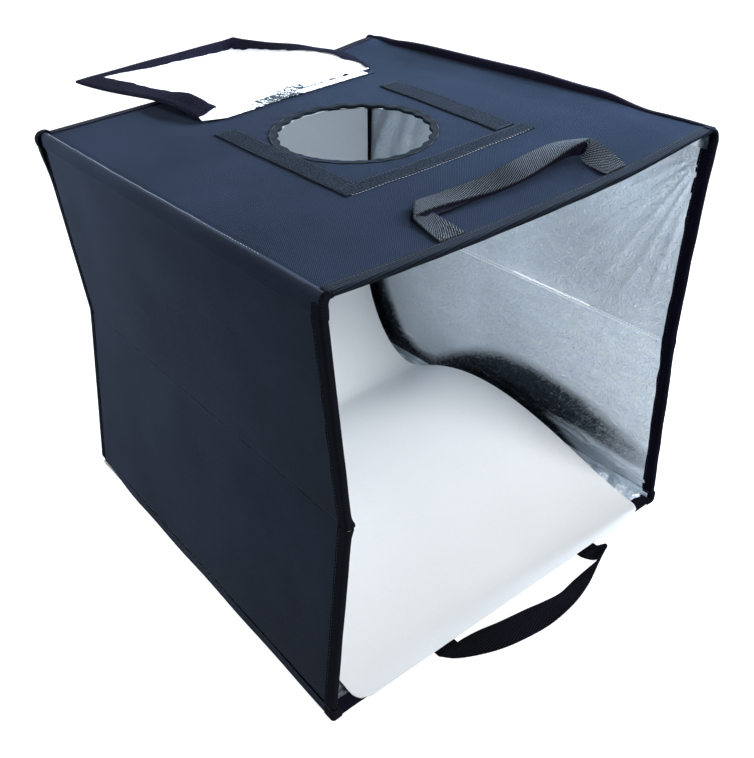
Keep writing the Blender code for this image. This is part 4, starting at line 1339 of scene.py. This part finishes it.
# Back

back = {"face": 0.2277, "low": 0.0077, "high": 0.4183, "foot": 0.2122, "crease": 0.2003, "tuck": 0.0018,
        "lift": 0.0014, "width": 0.42, "drape": 0.0014, "hang": 0.0030, "crumple": 0.0006, "cells": 130,
        "keep": 0.052}


# Half width of the back at each height: it follows the side walls' bow
def backHalf(z, wall):
    crease = back["crease"] - walls[wall]["lean"]
    t = np.clip(1 - np.abs(z - box["creaseZ"]) / box["wallLength"], 0, 1)
    return back["foot"] + (crease - back["foot"]) * t


# The cloth and its lining drape together; the lining is crumpled too, and hangs in folds at its right, and
# the cloth is a little wider and higher, so that it covers the walls' ends. The lining's right edge, in the
# corner by the right wall, is painted dark as shade
def makeBack():
    low, high = back["low"], back["high"]
    z = np.linspace(low, high, back["cells"])[:, None]
    s = np.linspace(0, 1, back["cells"])[None]
    left, right = -backHalf(z, "left"), backHalf(z, "right")
    x = left + (right - left) * s
    edge = np.minimum(np.minimum(s, 1 - s) * back["width"], np.minimum(z - low, high - z))
    calm = ease(edge, 0.0, 0.05)
    drape = back["drape"] * (1 + ripple(x, z, 0.16, 101)) * calm
    hang = back["hang"] * ease(x, 0.13, 0.19) * np.sin(math.pi * (x + 0.10 * z) / 0.017) ** 2 * calm
    raised = z + topWarp(x, back["face"]) * ease(z, 0.30, high)
    wide = x * (1 + back["tuck"] / (back["width"] / 2))
    tall = raised + back["lift"] * ease(z, 0.405, high)
    folds = back["crumple"] * crumple(x, z, 0.022, 105) * calm + hang
    for name, node, across, depth, relief, up, layer, finish, veil in (
        ("backCloth", "back_cloth", wide, 0.0006, 0.0, tall, "cover", "wall", None),
        ("backLining", "back_lining", x, 0.0020, folds, raised, "lining", "foil", ease(x, 0.196, 0.199)),
    ):
        y = back["face"] - depth - drape * 0.35 - relief
        piece = clothPiece(name, spots(across, y, up), layers[layer][1], finish, "base", (node,), veil)
        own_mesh(piece)


makeBack()
print("back hung")

# Backdrop

# The two strips that hold the sheet to the back lining
backdropStrips = {
    "x": (-0.150, 0.150), "z": (0.372, 0.397), "grid": (120, 16), "thickness": 0.0010,
    "levels": {"backdropHookStrip": (0.2248, "backdrop_hook_strip"),
               "backdropLoopStrip": (0.2236, "backdrop_loop_strip")},
}


def flattenBackdrop(piece):
    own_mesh(piece)


# The profile swept across the box: its front corners are rounded, its right edge widens up the
# back, and its floor swells a little along the profile's normal
def makeBackdrop():
    path = backdropProfile()
    length = np.linalg.norm(np.diff(path, axis=0), axis=1).sum()
    reach = np.linspace(0, length, backdrop["rows"])
    inset = np.clip(backdrop["corner"] - reach, 0, None)
    trim = backdrop["corner"] - np.sqrt(backdrop["corner"] ** 2 - inset**2)
    half = backdrop["halfWidth"] - trim * 0.98
    s = np.linspace(-1, 1, backdrop["columns"])[None]
    widened = backdrop["widen"] * ease(path[:, 1], 0.10, 0.30)
    x = s * half[:, None] + widened[:, None] * ease(s, 0.6, 1.0)
    tangent = unit(np.gradient(path, axis=0))
    normal = np.stack([-tangent[:, 1], tangent[:, 0]], 1)
    floorShare = (1 - ease(path[:, 0], 0.06, 0.18))[:, None]
    settled = floorShare * ease(reach, 0.0, 0.06)[:, None]
    lift = backdrop["swell"] * (1 + ripple(x, path[:, :1], 0.22, 121)) * settled
    mid = spots(x, path[:, :1] + normal[:, :1] * lift, path[:, 1:] + normal[:, 1:] * lift)
    piece = clothPiece("backdropSheet", mid, backdrop["thickness"], "sheet", "base", ("backdrop_sheet",))
    flattenBackdrop(piece)
    (lowX, highX), (lowZ, highZ) = backdropStrips["x"], backdropStrips["z"]
    columns, rows = backdropStrips["grid"]
    x, z = spread(lowX, highX, columns, lowZ, highZ, rows)
    for name, (level, node) in backdropStrips["levels"].items():
        flattenBackdrop(clothPiece(name, spots(x, level, z), backdropStrips["thickness"], "pile", "base",
                                   (node,)))
    print(f"backdrop hung, {length * 1000:.0f} mm long")


makeBackdrop()

# Hatch flap

flap = {
    "left": -0.0870, "right": 0.1350, "hinge": 0.1353, "length": 0.2410, "skew": 0.0205,
    "base": 0.4275, "keep": 0.08, "edge": 0.0010, "cover": 0.0010, "foil": 0.0006,
    "columns": 110, "coverRows": 120, "foilRows": 140,
    "tape": 0.0230, "tapeThickness": 0.0008, "tapeStations": 110,
    "narrow": {"left": 1.0, "far": 0.80, "right": 0.66},
    "lap": [(0.00, 0.1293), (0.10, 0.1190), (0.25, 0.1214), (0.50, 0.1238), (0.75, 0.1252), (1.00, 0.1262)],
    "lapGrid": (240, 16), "lapThickness": 0.0005, "lapRise": 0.0013, "lapShort": 0.0110,
    "fray": 0.0003, "wornFray": 0.0016, "lift": 0.0012, "crumple": 0.0004, "crush": 0.0019,
    "tornAndShaded": 0.56, "lapTorn": 0.78, "wander": 0.0012, "drawnIn": 0.72, "billow": 0.0016,
    "tongue": 0.004, "tongueRise": 0.0028, "cockle": 0.0010,
}
flap["width"] = flap["right"] - flap["left"]

# Heights of the open flap's middle surface over its base, in millimetres: a row for each share of
# its length from the fold, a column for each share of its width from the left
flapRelief = {
    "across": (0.0, 0.104, 0.5, 0.896, 1.0),
    "rows": [(0.00, 0.0, 0.0, 0.0, 0.0, 1.0), (0.10, 3.0, 5.6, 7.5, 8.4, 9.0),
             (0.20, 4.6, 7.6, 10.5, 11.2, 11.0), (0.35, 3.4, 3.6, 6.2, 8.2, 8.8),
             (0.50, -0.1, 0.6, 0.6, 1.2, 7.0), (0.70, -4.8, -2.4, -6.0, -5.8, 1.4),
             (0.90, -8.0, -5.9, -10.2, -12.2, -2.4), (1.00, -8.6, -7.8, -5.6, -4.2, -3.4)],
}


# A point of the flap at a share of its width and of its length
def flapPoint(s, t):
    y = flap["hinge"] + flap["length"] * t
    x = flap["left"] + flap["width"] * s - flap["skew"] * t
    curve = smoothPath(flapRelief["rows"], 10)
    columns = [np.interp(t, curve[:, 0], curve[:, k]) / 1000 for k in range(1, curve.shape[1])]
    height = columns[0]
    steps = zip(flapRelief["across"][:-1], flapRelief["across"][1:], columns[:-1], columns[1:])
    for low, high, before, after in steps:
        height = height + (after - before) * ease(s, low, high)
    return x, y, flap["base"] + height


def flattenFlap(piece):
    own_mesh(piece)


# The cover, and over it the foil, crumpled most near its fold, where its middle has torn
def makeFlapSheets():
    edge, width = flap["edge"], flap["width"]
    far = 1 - edge / flap["length"]
    s = np.linspace(edge / width, 1 - edge / width, flap["columns"])[None]
    t = np.linspace(0, far, flap["coverRows"])[:, None]
    piece = clothPiece("flapCover", spots(*flapPoint(s, t)), flap["cover"], "nylon", "flap",
                       ("flap_cover",))
    flattenFlap(piece)
    t = np.linspace(0.001, far, flap["foilRows"])[:, None]
    x, y, z = flapPoint(s, t)
    bareAndShaded = ease(s, 0.50, 0.62)
    near = np.exp(-((t - 0.01) / 0.055) ** 2) * (0.35 + 0.65 * bareAndShaded)
    folds = flap["crumple"] * crumple(x, y, 0.03, 131)
    folds = folds + flap["crush"] * near * crumple(x * 1.4, y * 1.4, 0.016, 133)
    inset = np.minimum(np.minimum(s, 1 - s) * width, (1 - t) * flap["length"])
    folds = folds * ease(inset, 0.004, 0.02)
    tornAndShaded = flap["tornAndShaded"] * np.exp(-((s - 0.50) / 0.13) ** 2) * np.exp(-(t / 0.050) ** 2)
    piece = clothPiece("flapFoil", spots(x, y, z + flap["lift"] + folds), flap["foil"], "flapFoil", "flap",
                       ("flap_foil",), tornAndShaded)
    flattenFlap(piece)


# Beyond the fold the foil laps over the strip that holds the flap, and frays
def makeFlapLap():
    columns, rows = flap["lapGrid"]
    across = np.linspace(0, 1, columns)[None]
    t = np.linspace(0, 1, rows)[:, None]
    wornAndShaded = np.exp(-((across - 0.44) / 0.17) ** 2)
    nearY = np.interp(across, *zip(*flap["lap"]))
    fray = flap["fray"] + flap["wornFray"] * wornAndShaded
    nearY = nearY + fray * ripple(across * flap["width"], 0 * across, 0.007, 141)
    farY = flap["hinge"] + 0.0012 - 0.0022 * ease(across, 0.40, 0.56)
    y = nearY + (farY - nearY) * t
    x = flap["left"] + (flap["width"] - flap["lapShort"]) * across + 0 * t
    z = box["height"] + topWarp(x, y) + topRelief(x, y) + flap["lapRise"]
    z = z + flap["crumple"] * crumple(x, y, 0.012, 143) * t
    z = z + 0.0018 * ease(y, 0.1310, 0.1352) * (1 - ease(across, 0.42, 0.58))
    clothPiece("flapFoilLap", spots(x, y, z), flap["lapThickness"], "flapFoil", "top",
               veil=flap["lapTorn"] * wornAndShaded * (1 - 0.3 * t))


# Border tape: three lengths round the free sides, over the foil and turned under at the rim; its
# section is (inset from the rim, height over the flap's middle). The left length has a tongue at
# the fold, and the right one is drawn in there
def makeFlapBorder():
    tape, width = flap["tape"], flap["width"]
    section = [(tape, 0.0026), (tape * 0.6, 0.0028), (0.006, 0.0027), (0.0012, 0.0024), (-0.0006, 0.0010),
               (0.0004, -0.0008), (0.004, -0.0012), (0.011, -0.0012)]
    section = respaced(smoothPath(section, 5), 30)
    stations = np.linspace(0, 1, flap["tapeStations"])[:, None]
    sheets = []
    for kind, share in flap["narrow"].items():
        if kind == "right":
            share = share + (flap["narrow"]["far"] - share) * ease(stations, 0.80, 1.0)
        inset = section[None, :, 0] * share + 0 * stations
        level = section[None, :, 1] + 0 * stations
        over = ease(inset, 0.010, 0.016) * (level > 0.0005)
        wander = ripple(stations * width, 0 * inset, 0.017, 151 + len(kind))
        inset = inset + flap["wander"] * over * wander
        if kind == "far":
            s = (inset / width) + stations * (1 - 2 * inset / width)
            t = 1 - inset / flap["length"]
        else:
            drawn = 1 - flap["drawnIn"] * (1 - ease(stations, 0.03, 0.13)) if kind == "right" else 1.0
            s = inset * drawn / width if kind == "left" else 1 - inset * drawn / width
            t = stations * (1 - inset / flap["length"])
        x, y, z = flapPoint(s, t)
        if kind == "left":
            tongue = ease(inset, 0.002, tape) * np.exp(-(t / 0.05) ** 2)
            billow = ease(inset, 0.004, tape) * np.exp(-((t - 0.16) / 0.12) ** 2)
            y = y + flap["tongue"] * tongue
            level = level + flap["billow"] * billow + flap["tongueRise"] * tongue
        if kind == "right":
            cockle = np.abs(ripple(t * 0.24, inset, 0.05, 137)) * ease(inset, 0.005, 0.02)
            level = level + flap["cockle"] * cockle
        sheets.append(clothArrays(spots(x, y, z + level), flap["tapeThickness"]))
    flattenFlap(addPiece("flapBorder", *joined(sheets), "flapTape", "flap", ("flap_border",)))


makeFlapSheets()
makeFlapLap()
makeFlapBorder()
print("hatch flap made")

# Handles

# Edges of the top handle's webbing, in millimetres: outer leg edge and near edge first, inner leg
# edge and far edge second; heights are above the panel's cover
topHandle = {
    "outer": [(-101.5, -216.6, 1.0), (-98.5, -205, 1.2), (-94.5, -192, 1.5), (-90.5, -179.0, 2.0),
              (-90.0, -177.2, 3.0), (-86.5, -175.8, 4.0), (-75.7, -174.9, 4.2), (-58.9, -175.3, 4.0),
              (-28.1, -179.7, 3.8), (-8.8, -182.5, 4.0), (20.7, -183.0, 4.8), (53.1, -179.1, 6.4),
              (85.1, -176.1, 10.2), (101.0, -179.0, 13.6), (107.0, -180.0, 13.0), (100.5, -182.5, 7.0),
              (89.5, -187.0, 2.4), (84.6, -206.0, 1.3), (83.5, -216.6, 1.0)],
    "inner": [(-76.5, -216.6, 1.0), (-73.8, -201, 1.2), (-70.5, -176, 1.5), (-68.6, -156.5, 2.0),
              (-69.4, -155.6, 3.0), (-68.4, -156.0, 4.0), (-61, -155.0, 3.4), (-50, -155, 3.0),
              (-28.6, -161.3, 6.6), (-5.3, -165.9, 9.8), (22.4, -167.0, 13.5), (56.0, -160.6, 11.8),
              (90.5, -155.4, 8.6), (112.5, -160.4, 6.6), (118.5, -168.5, 7.6), (116.4, -177.5, 9.6),
              (113.2, -190.0, 9.0), (111.2, -203.0, 5.6), (108.5, -216.6, 1.0)],
    # Edges of a dark ply under the strap's near edge, which stands for the shadow there: a painted shadow
    "shadowPlyTop": [(-86.0, -173.4, 2.8), (-75.7, -172.4, 3.0), (-58.9, -172.8, 2.8), (-44.8, -176.2, 2.6),
               (-28.1, -177.2, 2.6), (-8.8, -180.0, 2.8), (8.9, -180.8, 3.2), (20.7, -180.5, 3.6),
               (39.3, -179.6, 4.4), (53.1, -176.6, 5.2), (67.3, -174.9, 6.6), (85.1, -173.6, 9.0),
               (94.8, -174.8, 11.2), (101.7, -176.8, 12.4), (107.0, -176.3, 11.6)],
    "shadowPlyFoot": [(-83.6, -174.0, 1.4), (-78.9, -179.2, 1.4), (-64.6, -181.3, 1.4), (-47.1, -181.1, 1.4),
                (-29.0, -180.7, 1.4), (-8.8, -182.7, 1.4), (10.1, -182.4, 1.4), (22.9, -181.4, 1.4),
                (43.1, -179.2, 1.4), (58.3, -175.6, 1.4), (75.1, -173.5, 1.4), (92.0, -173.2, 1.6),
                (98.0, -177.0, 1.8), (105.0, -177.8, 2.0), (113.0, -176.1, 2.0)],
    "level": 0.4256, "thickness": 0.0014, "shadowPlyThickness": 0.0010,
}


# A ruled strip of webbing between two edges, a little crowned across its width
def ruledStrip(edges, across=13, steps=8, crown=0.0004):
    a, b = (smoothPath(edge, steps) for edge in edges)
    t = np.linspace(0, 1, across)[None, :, None]
    mid = a[:, None] * (1 - t) + b[:, None] * t
    normal = unit(np.cross(np.gradient(a, axis=0), b - a))[:, None]
    return mid + normal * (crown * np.sin(math.pi * t))


def topHandleStrip(*keys):
    edges = [np.asarray(topHandle[key], float) / 1000 for key in keys]
    for line in edges:
        line[:, 2] += topHandle["level"] + topWarp(line[:, 0], line[:, 1])
    return ruledStrip(edges)


bottomHandle = {
    "outer": [(-103.5, -234.6, 0.9), (-91.9, -246.5, 0.9), (-69.2, -258.3, 0.9), (-43.0, -267.0, 0.9),
              (-8.4, -272.6, 0.9), (16.0, -273.9, 2.2), (40.0, -274.3, 9.5), (67.0, -268.2, 12.0),
              (95.5, -257.4, 15.0), (113.5, -250.0, 12.0), (126.0, -244.5, 7.0), (131.5, -239.5, 3.0),
              (124.0, -234.6, 0.9)],
    "inner": [(-78.5, -234.6, 0.9), (-71.0, -234.8, 1.4), (-54.0, -238.5, 4.0), (-33.0, -244.0, 5.5),
              (0.0, -249.0, 4.8), (22.0, -251.3, 1.6), (44.1, -253.7, 0.9), (70.0, -250.9, 0.9),
              (103.0, -248.6, 0.9), (108.0, -248.4, 0.9), (109.5, -247.4, 0.9), (104.0, -243.5, 0.9),
              (99.0, -234.6, 0.9)],
    "level": 0.0009, "thickness": 0.0014, "endWidth": 0.025, "endY": (-0.2343, -0.2285), "endGrid": (16, 8),
    "ends": {"bottomHandleLeftEnd": ("bottom_handle_left_end", -0.1035),
             "bottomHandleRightEnd": ("bottom_handle_right_end", 0.0990)},
}


def makeBottomHandle():
    look = bottomHandle
    mid = ruledStrip([np.asarray(look[key], float) / 1000 for key in ("outer", "inner")])
    piece = clothPiece("bottomHandle", mid, look["thickness"], "floorWebbing", "bottom_handle",
                       ("bottom_handle",))
    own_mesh(piece)
    columns, rows = look["endGrid"]
    for name, (node, lowX) in look["ends"].items():
        x, y = spread(lowX, lowX + look["endWidth"], columns, *look["endY"], rows)
        z = look["level"] + 0.0002 * np.sin(math.pi * (x - lowX) / look["endWidth"])
        clothPiece(name, spots(x, y, z), look["thickness"], "floorWebbing", "base", (node,))


handleStrip = topHandleStrip("outer", "inner")
clothPiece("topHandle", handleStrip, topHandle["thickness"], "webbing", "top_handle", ("top_handle",))
# A dark ply beneath the strap's near edge: a painted shadow
clothPiece("topHandleShadowPly", topHandleStrip("shadowPlyTop", "shadowPlyFoot"), topHandle["shadowPlyThickness"], "binding",
           "top_handle")
makeBottomHandle()
print("handles made")

# Stitching

thread = {"pitch": 0.0036, "length": 0.0027, "radius": 0.00023, "rise": 0.00022, "sink": 0.00008,
          "rings": 5}
puckerThread = dict(thread, radius=0.00085, rise=0.0005, length=0.0024, pitch=0.0034)
seamThread = dict(thread, radius=0.00028, length=0.0022)
webbingThread = dict(thread, pitch=0.003, length=0.0022)

# Where the rows of stitches run
seams = {
    "inset": 0.0092, "end": 0.002, "crease": 0.0016, "creaseY": (-0.214, 0.222),
    "puckerY": (-0.130, -0.024), "topEnd": 0.207, "portInset": 0.0013, "stripInset": 0.0014,
    "foldX": (-0.0855, 0.1335), "foldY": 0.1278, "frontX": (-0.094, 0.120), "frontInset": 0.0006,
    "leftX": -0.2142, "leftY": (-0.150, 0.219), "wander": 0.0003, "frontWander": 0.0011,
    "leftWander": 0.0005, "over": 0.0001, "overStrip": 0.0011, "overFold": 0.0013, "overEdge": 0.0007,
}


# A row of stitches: its path, and the way out of the cloth at each point
def facing(path, outward):
    return path, np.tile(outward, (len(path), 1))


# Rows along the leaves of a wall half's bindings, outside and inside, and one along its crease; the
# upper right crease is puckered too
def makeWallStitches(wall, half):
    side, body = walls[wall]["side"], f"{wall}_{half}"
    name = f"{wall}{half.capitalize()}Stitches"
    up = np.linspace(seams["end"], box["wallLength"] - seams["end"], 60)
    rows = []
    for toward in (-1.0, 1.0):
        for depth, outward in ((-seams["over"], side), (box["panel"] + seams["over"], -side)):
            wander = seams["wander"] * ripple(up, up, 0.05, 401)
            y = toward * (box["halfDepth"] - seams["inset"] + wander)
            rows.append(facing(wallPoint(wall, half, up, y, depth), (outward, 0.0, 0.0)))
    flattenWall(stitchPiece(name, rows, thread, "thread", body), wall, half)
    up = seams["crease"] if half == "upper" else box["wallLength"] - seams["crease"]
    depth = layers["lining"][0]
    path = wallPoint(wall, half, up, np.linspace(*seams["creaseY"], 160), depth + 0.0013)
    piece = stitchPiece(name + "Crease", [facing(path, (-side, 0.0, 0.0))], thread, "foilThread", body)
    flattenWall(piece, wall, half)
    if body == "right_upper":
        y = np.linspace(*seams["puckerY"], 60)
        path = wallPoint(wall, half, up + 0.0004 * ripple(y, y, 0.012, 431), y, depth + 0.0011)
        rows = [facing(path, (-side, 0.0, 0.0))]
        flattenWall(stitchPiece("creasePuckers", rows, puckerThread, "foilThread", body), wall, half)


# A row on the top's cover, lifted by the height of what it sews
def onTop(x, y, lift, outward=(0.0, 0.0, 1.0)):
    return facing(spots(x, y, coverLevel(x, y) + lift), outward)


# Rows along the top's bindings, round the port, round the strips and along the flap's fold, and two
# pale rows, along the front strip and the left seam
def makeTopStitches():
    x = np.linspace(-seams["topEnd"], seams["topEnd"], 130)
    y = -box["halfDepth"] + seams["inset"] + seams["wander"] * ripple(x, x, 0.06, 411)
    rows = [facing(spots(x, end, topLevel(x, end, -seams["over"])), (0.0, 0.0, 1.0)) for end in (y, -y)]
    turn = np.linspace(0, math.tau, 260)
    reach = port["leaf"] - seams["portInset"]
    x, y = top["portX"] + reach * np.cos(turn), top["portY"] + reach * np.sin(turn)
    z = topLevel(x, y, -seams["over"]) + topRelief(x, y) - 0.0002
    rows.append(facing(spots(x, y, z), (0.0, 0.0, 1.0)))
    for name in hookStrips:
        (lowX, highX), (lowY, highY) = strips[name]["x"], strips[name]["y"]
        gap = seams["stripInset"]
        a, b, c, d = lowX + gap, highX - gap, lowY + gap, highY - gap
        corners = [(a, c), (b, c), (b, d), (a, d)]
        if name == "rightHookStrip":
            corners = [(float(stripLean(x, y)), y) for x, y in corners]
        for ends in zip(corners, corners[1:] + corners[:1]):
            rows.append(onTop(*respaced(ends, 90).T, seams["overStrip"]))
    fold = respaced([(x, seams["foldY"]) for x in seams["foldX"]], 90)
    rows.append(onTop(*fold.T, seams["overFold"]))
    stitchPiece("topStitches", rows, thread, "thread", "top")

    x = np.linspace(*seams["frontX"], 120)
    wander = seams["frontWander"] * ripple(x, 0 * x, 0.05, 425)
    y = strips["frontHookStrip"]["y"][0] - seams["frontInset"] + wander
    rows = [onTop(x, y, seams["overEdge"], (0.0, -0.4, 1.0))]
    stitchPiece("frontStripStitches", rows, thread, "paleThread", "top")
    y = np.linspace(*seams["leftY"], 150)
    x = seams["leftX"] + seams["leftWander"] * ripple(y, y, 0.05, 421)
    rows = [facing(spots(x, y, box["height"] + topWarp(x, y) + 0.0003), (-0.2, 0.0, 1.0))]
    stitchPiece("seamStitches", rows, seamThread, "paleThread", "top")


# A box with a cross inside at each foot of the top handle's webbing
def makeHandleStitches(surface):
    rows = []
    for patch in (surface[1:10], surface[-10:-1]):
        a, b, c, d = patch[0, 2], patch[0, -3], patch[-1, -3], patch[-1, 2]
        normal = unit(np.cross(b - a, d - a))
        if normal[2] < 0:
            normal = -normal
        for start, stop in ((a, b), (b, c), (c, d), (d, a), (a, c), (b, d)):
            rows.append(facing(np.linspace(start, stop, 12) + normal * 0.0010, normal))
    stitchPiece("topHandleStitches", rows, webbingThread, "thread", "top_handle")


for wall in ("left", "right"):
    for half in ("lower", "upper"):
        makeWallStitches(wall, half)
makeTopStitches()
makeHandleStitches(handleStrip)
print("stitches sewn")

# The bottom board stays as the frame has it
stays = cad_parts["bottom_board"]
stays.data.materials.clear()
stays.data.materials.append(finishes["board"])
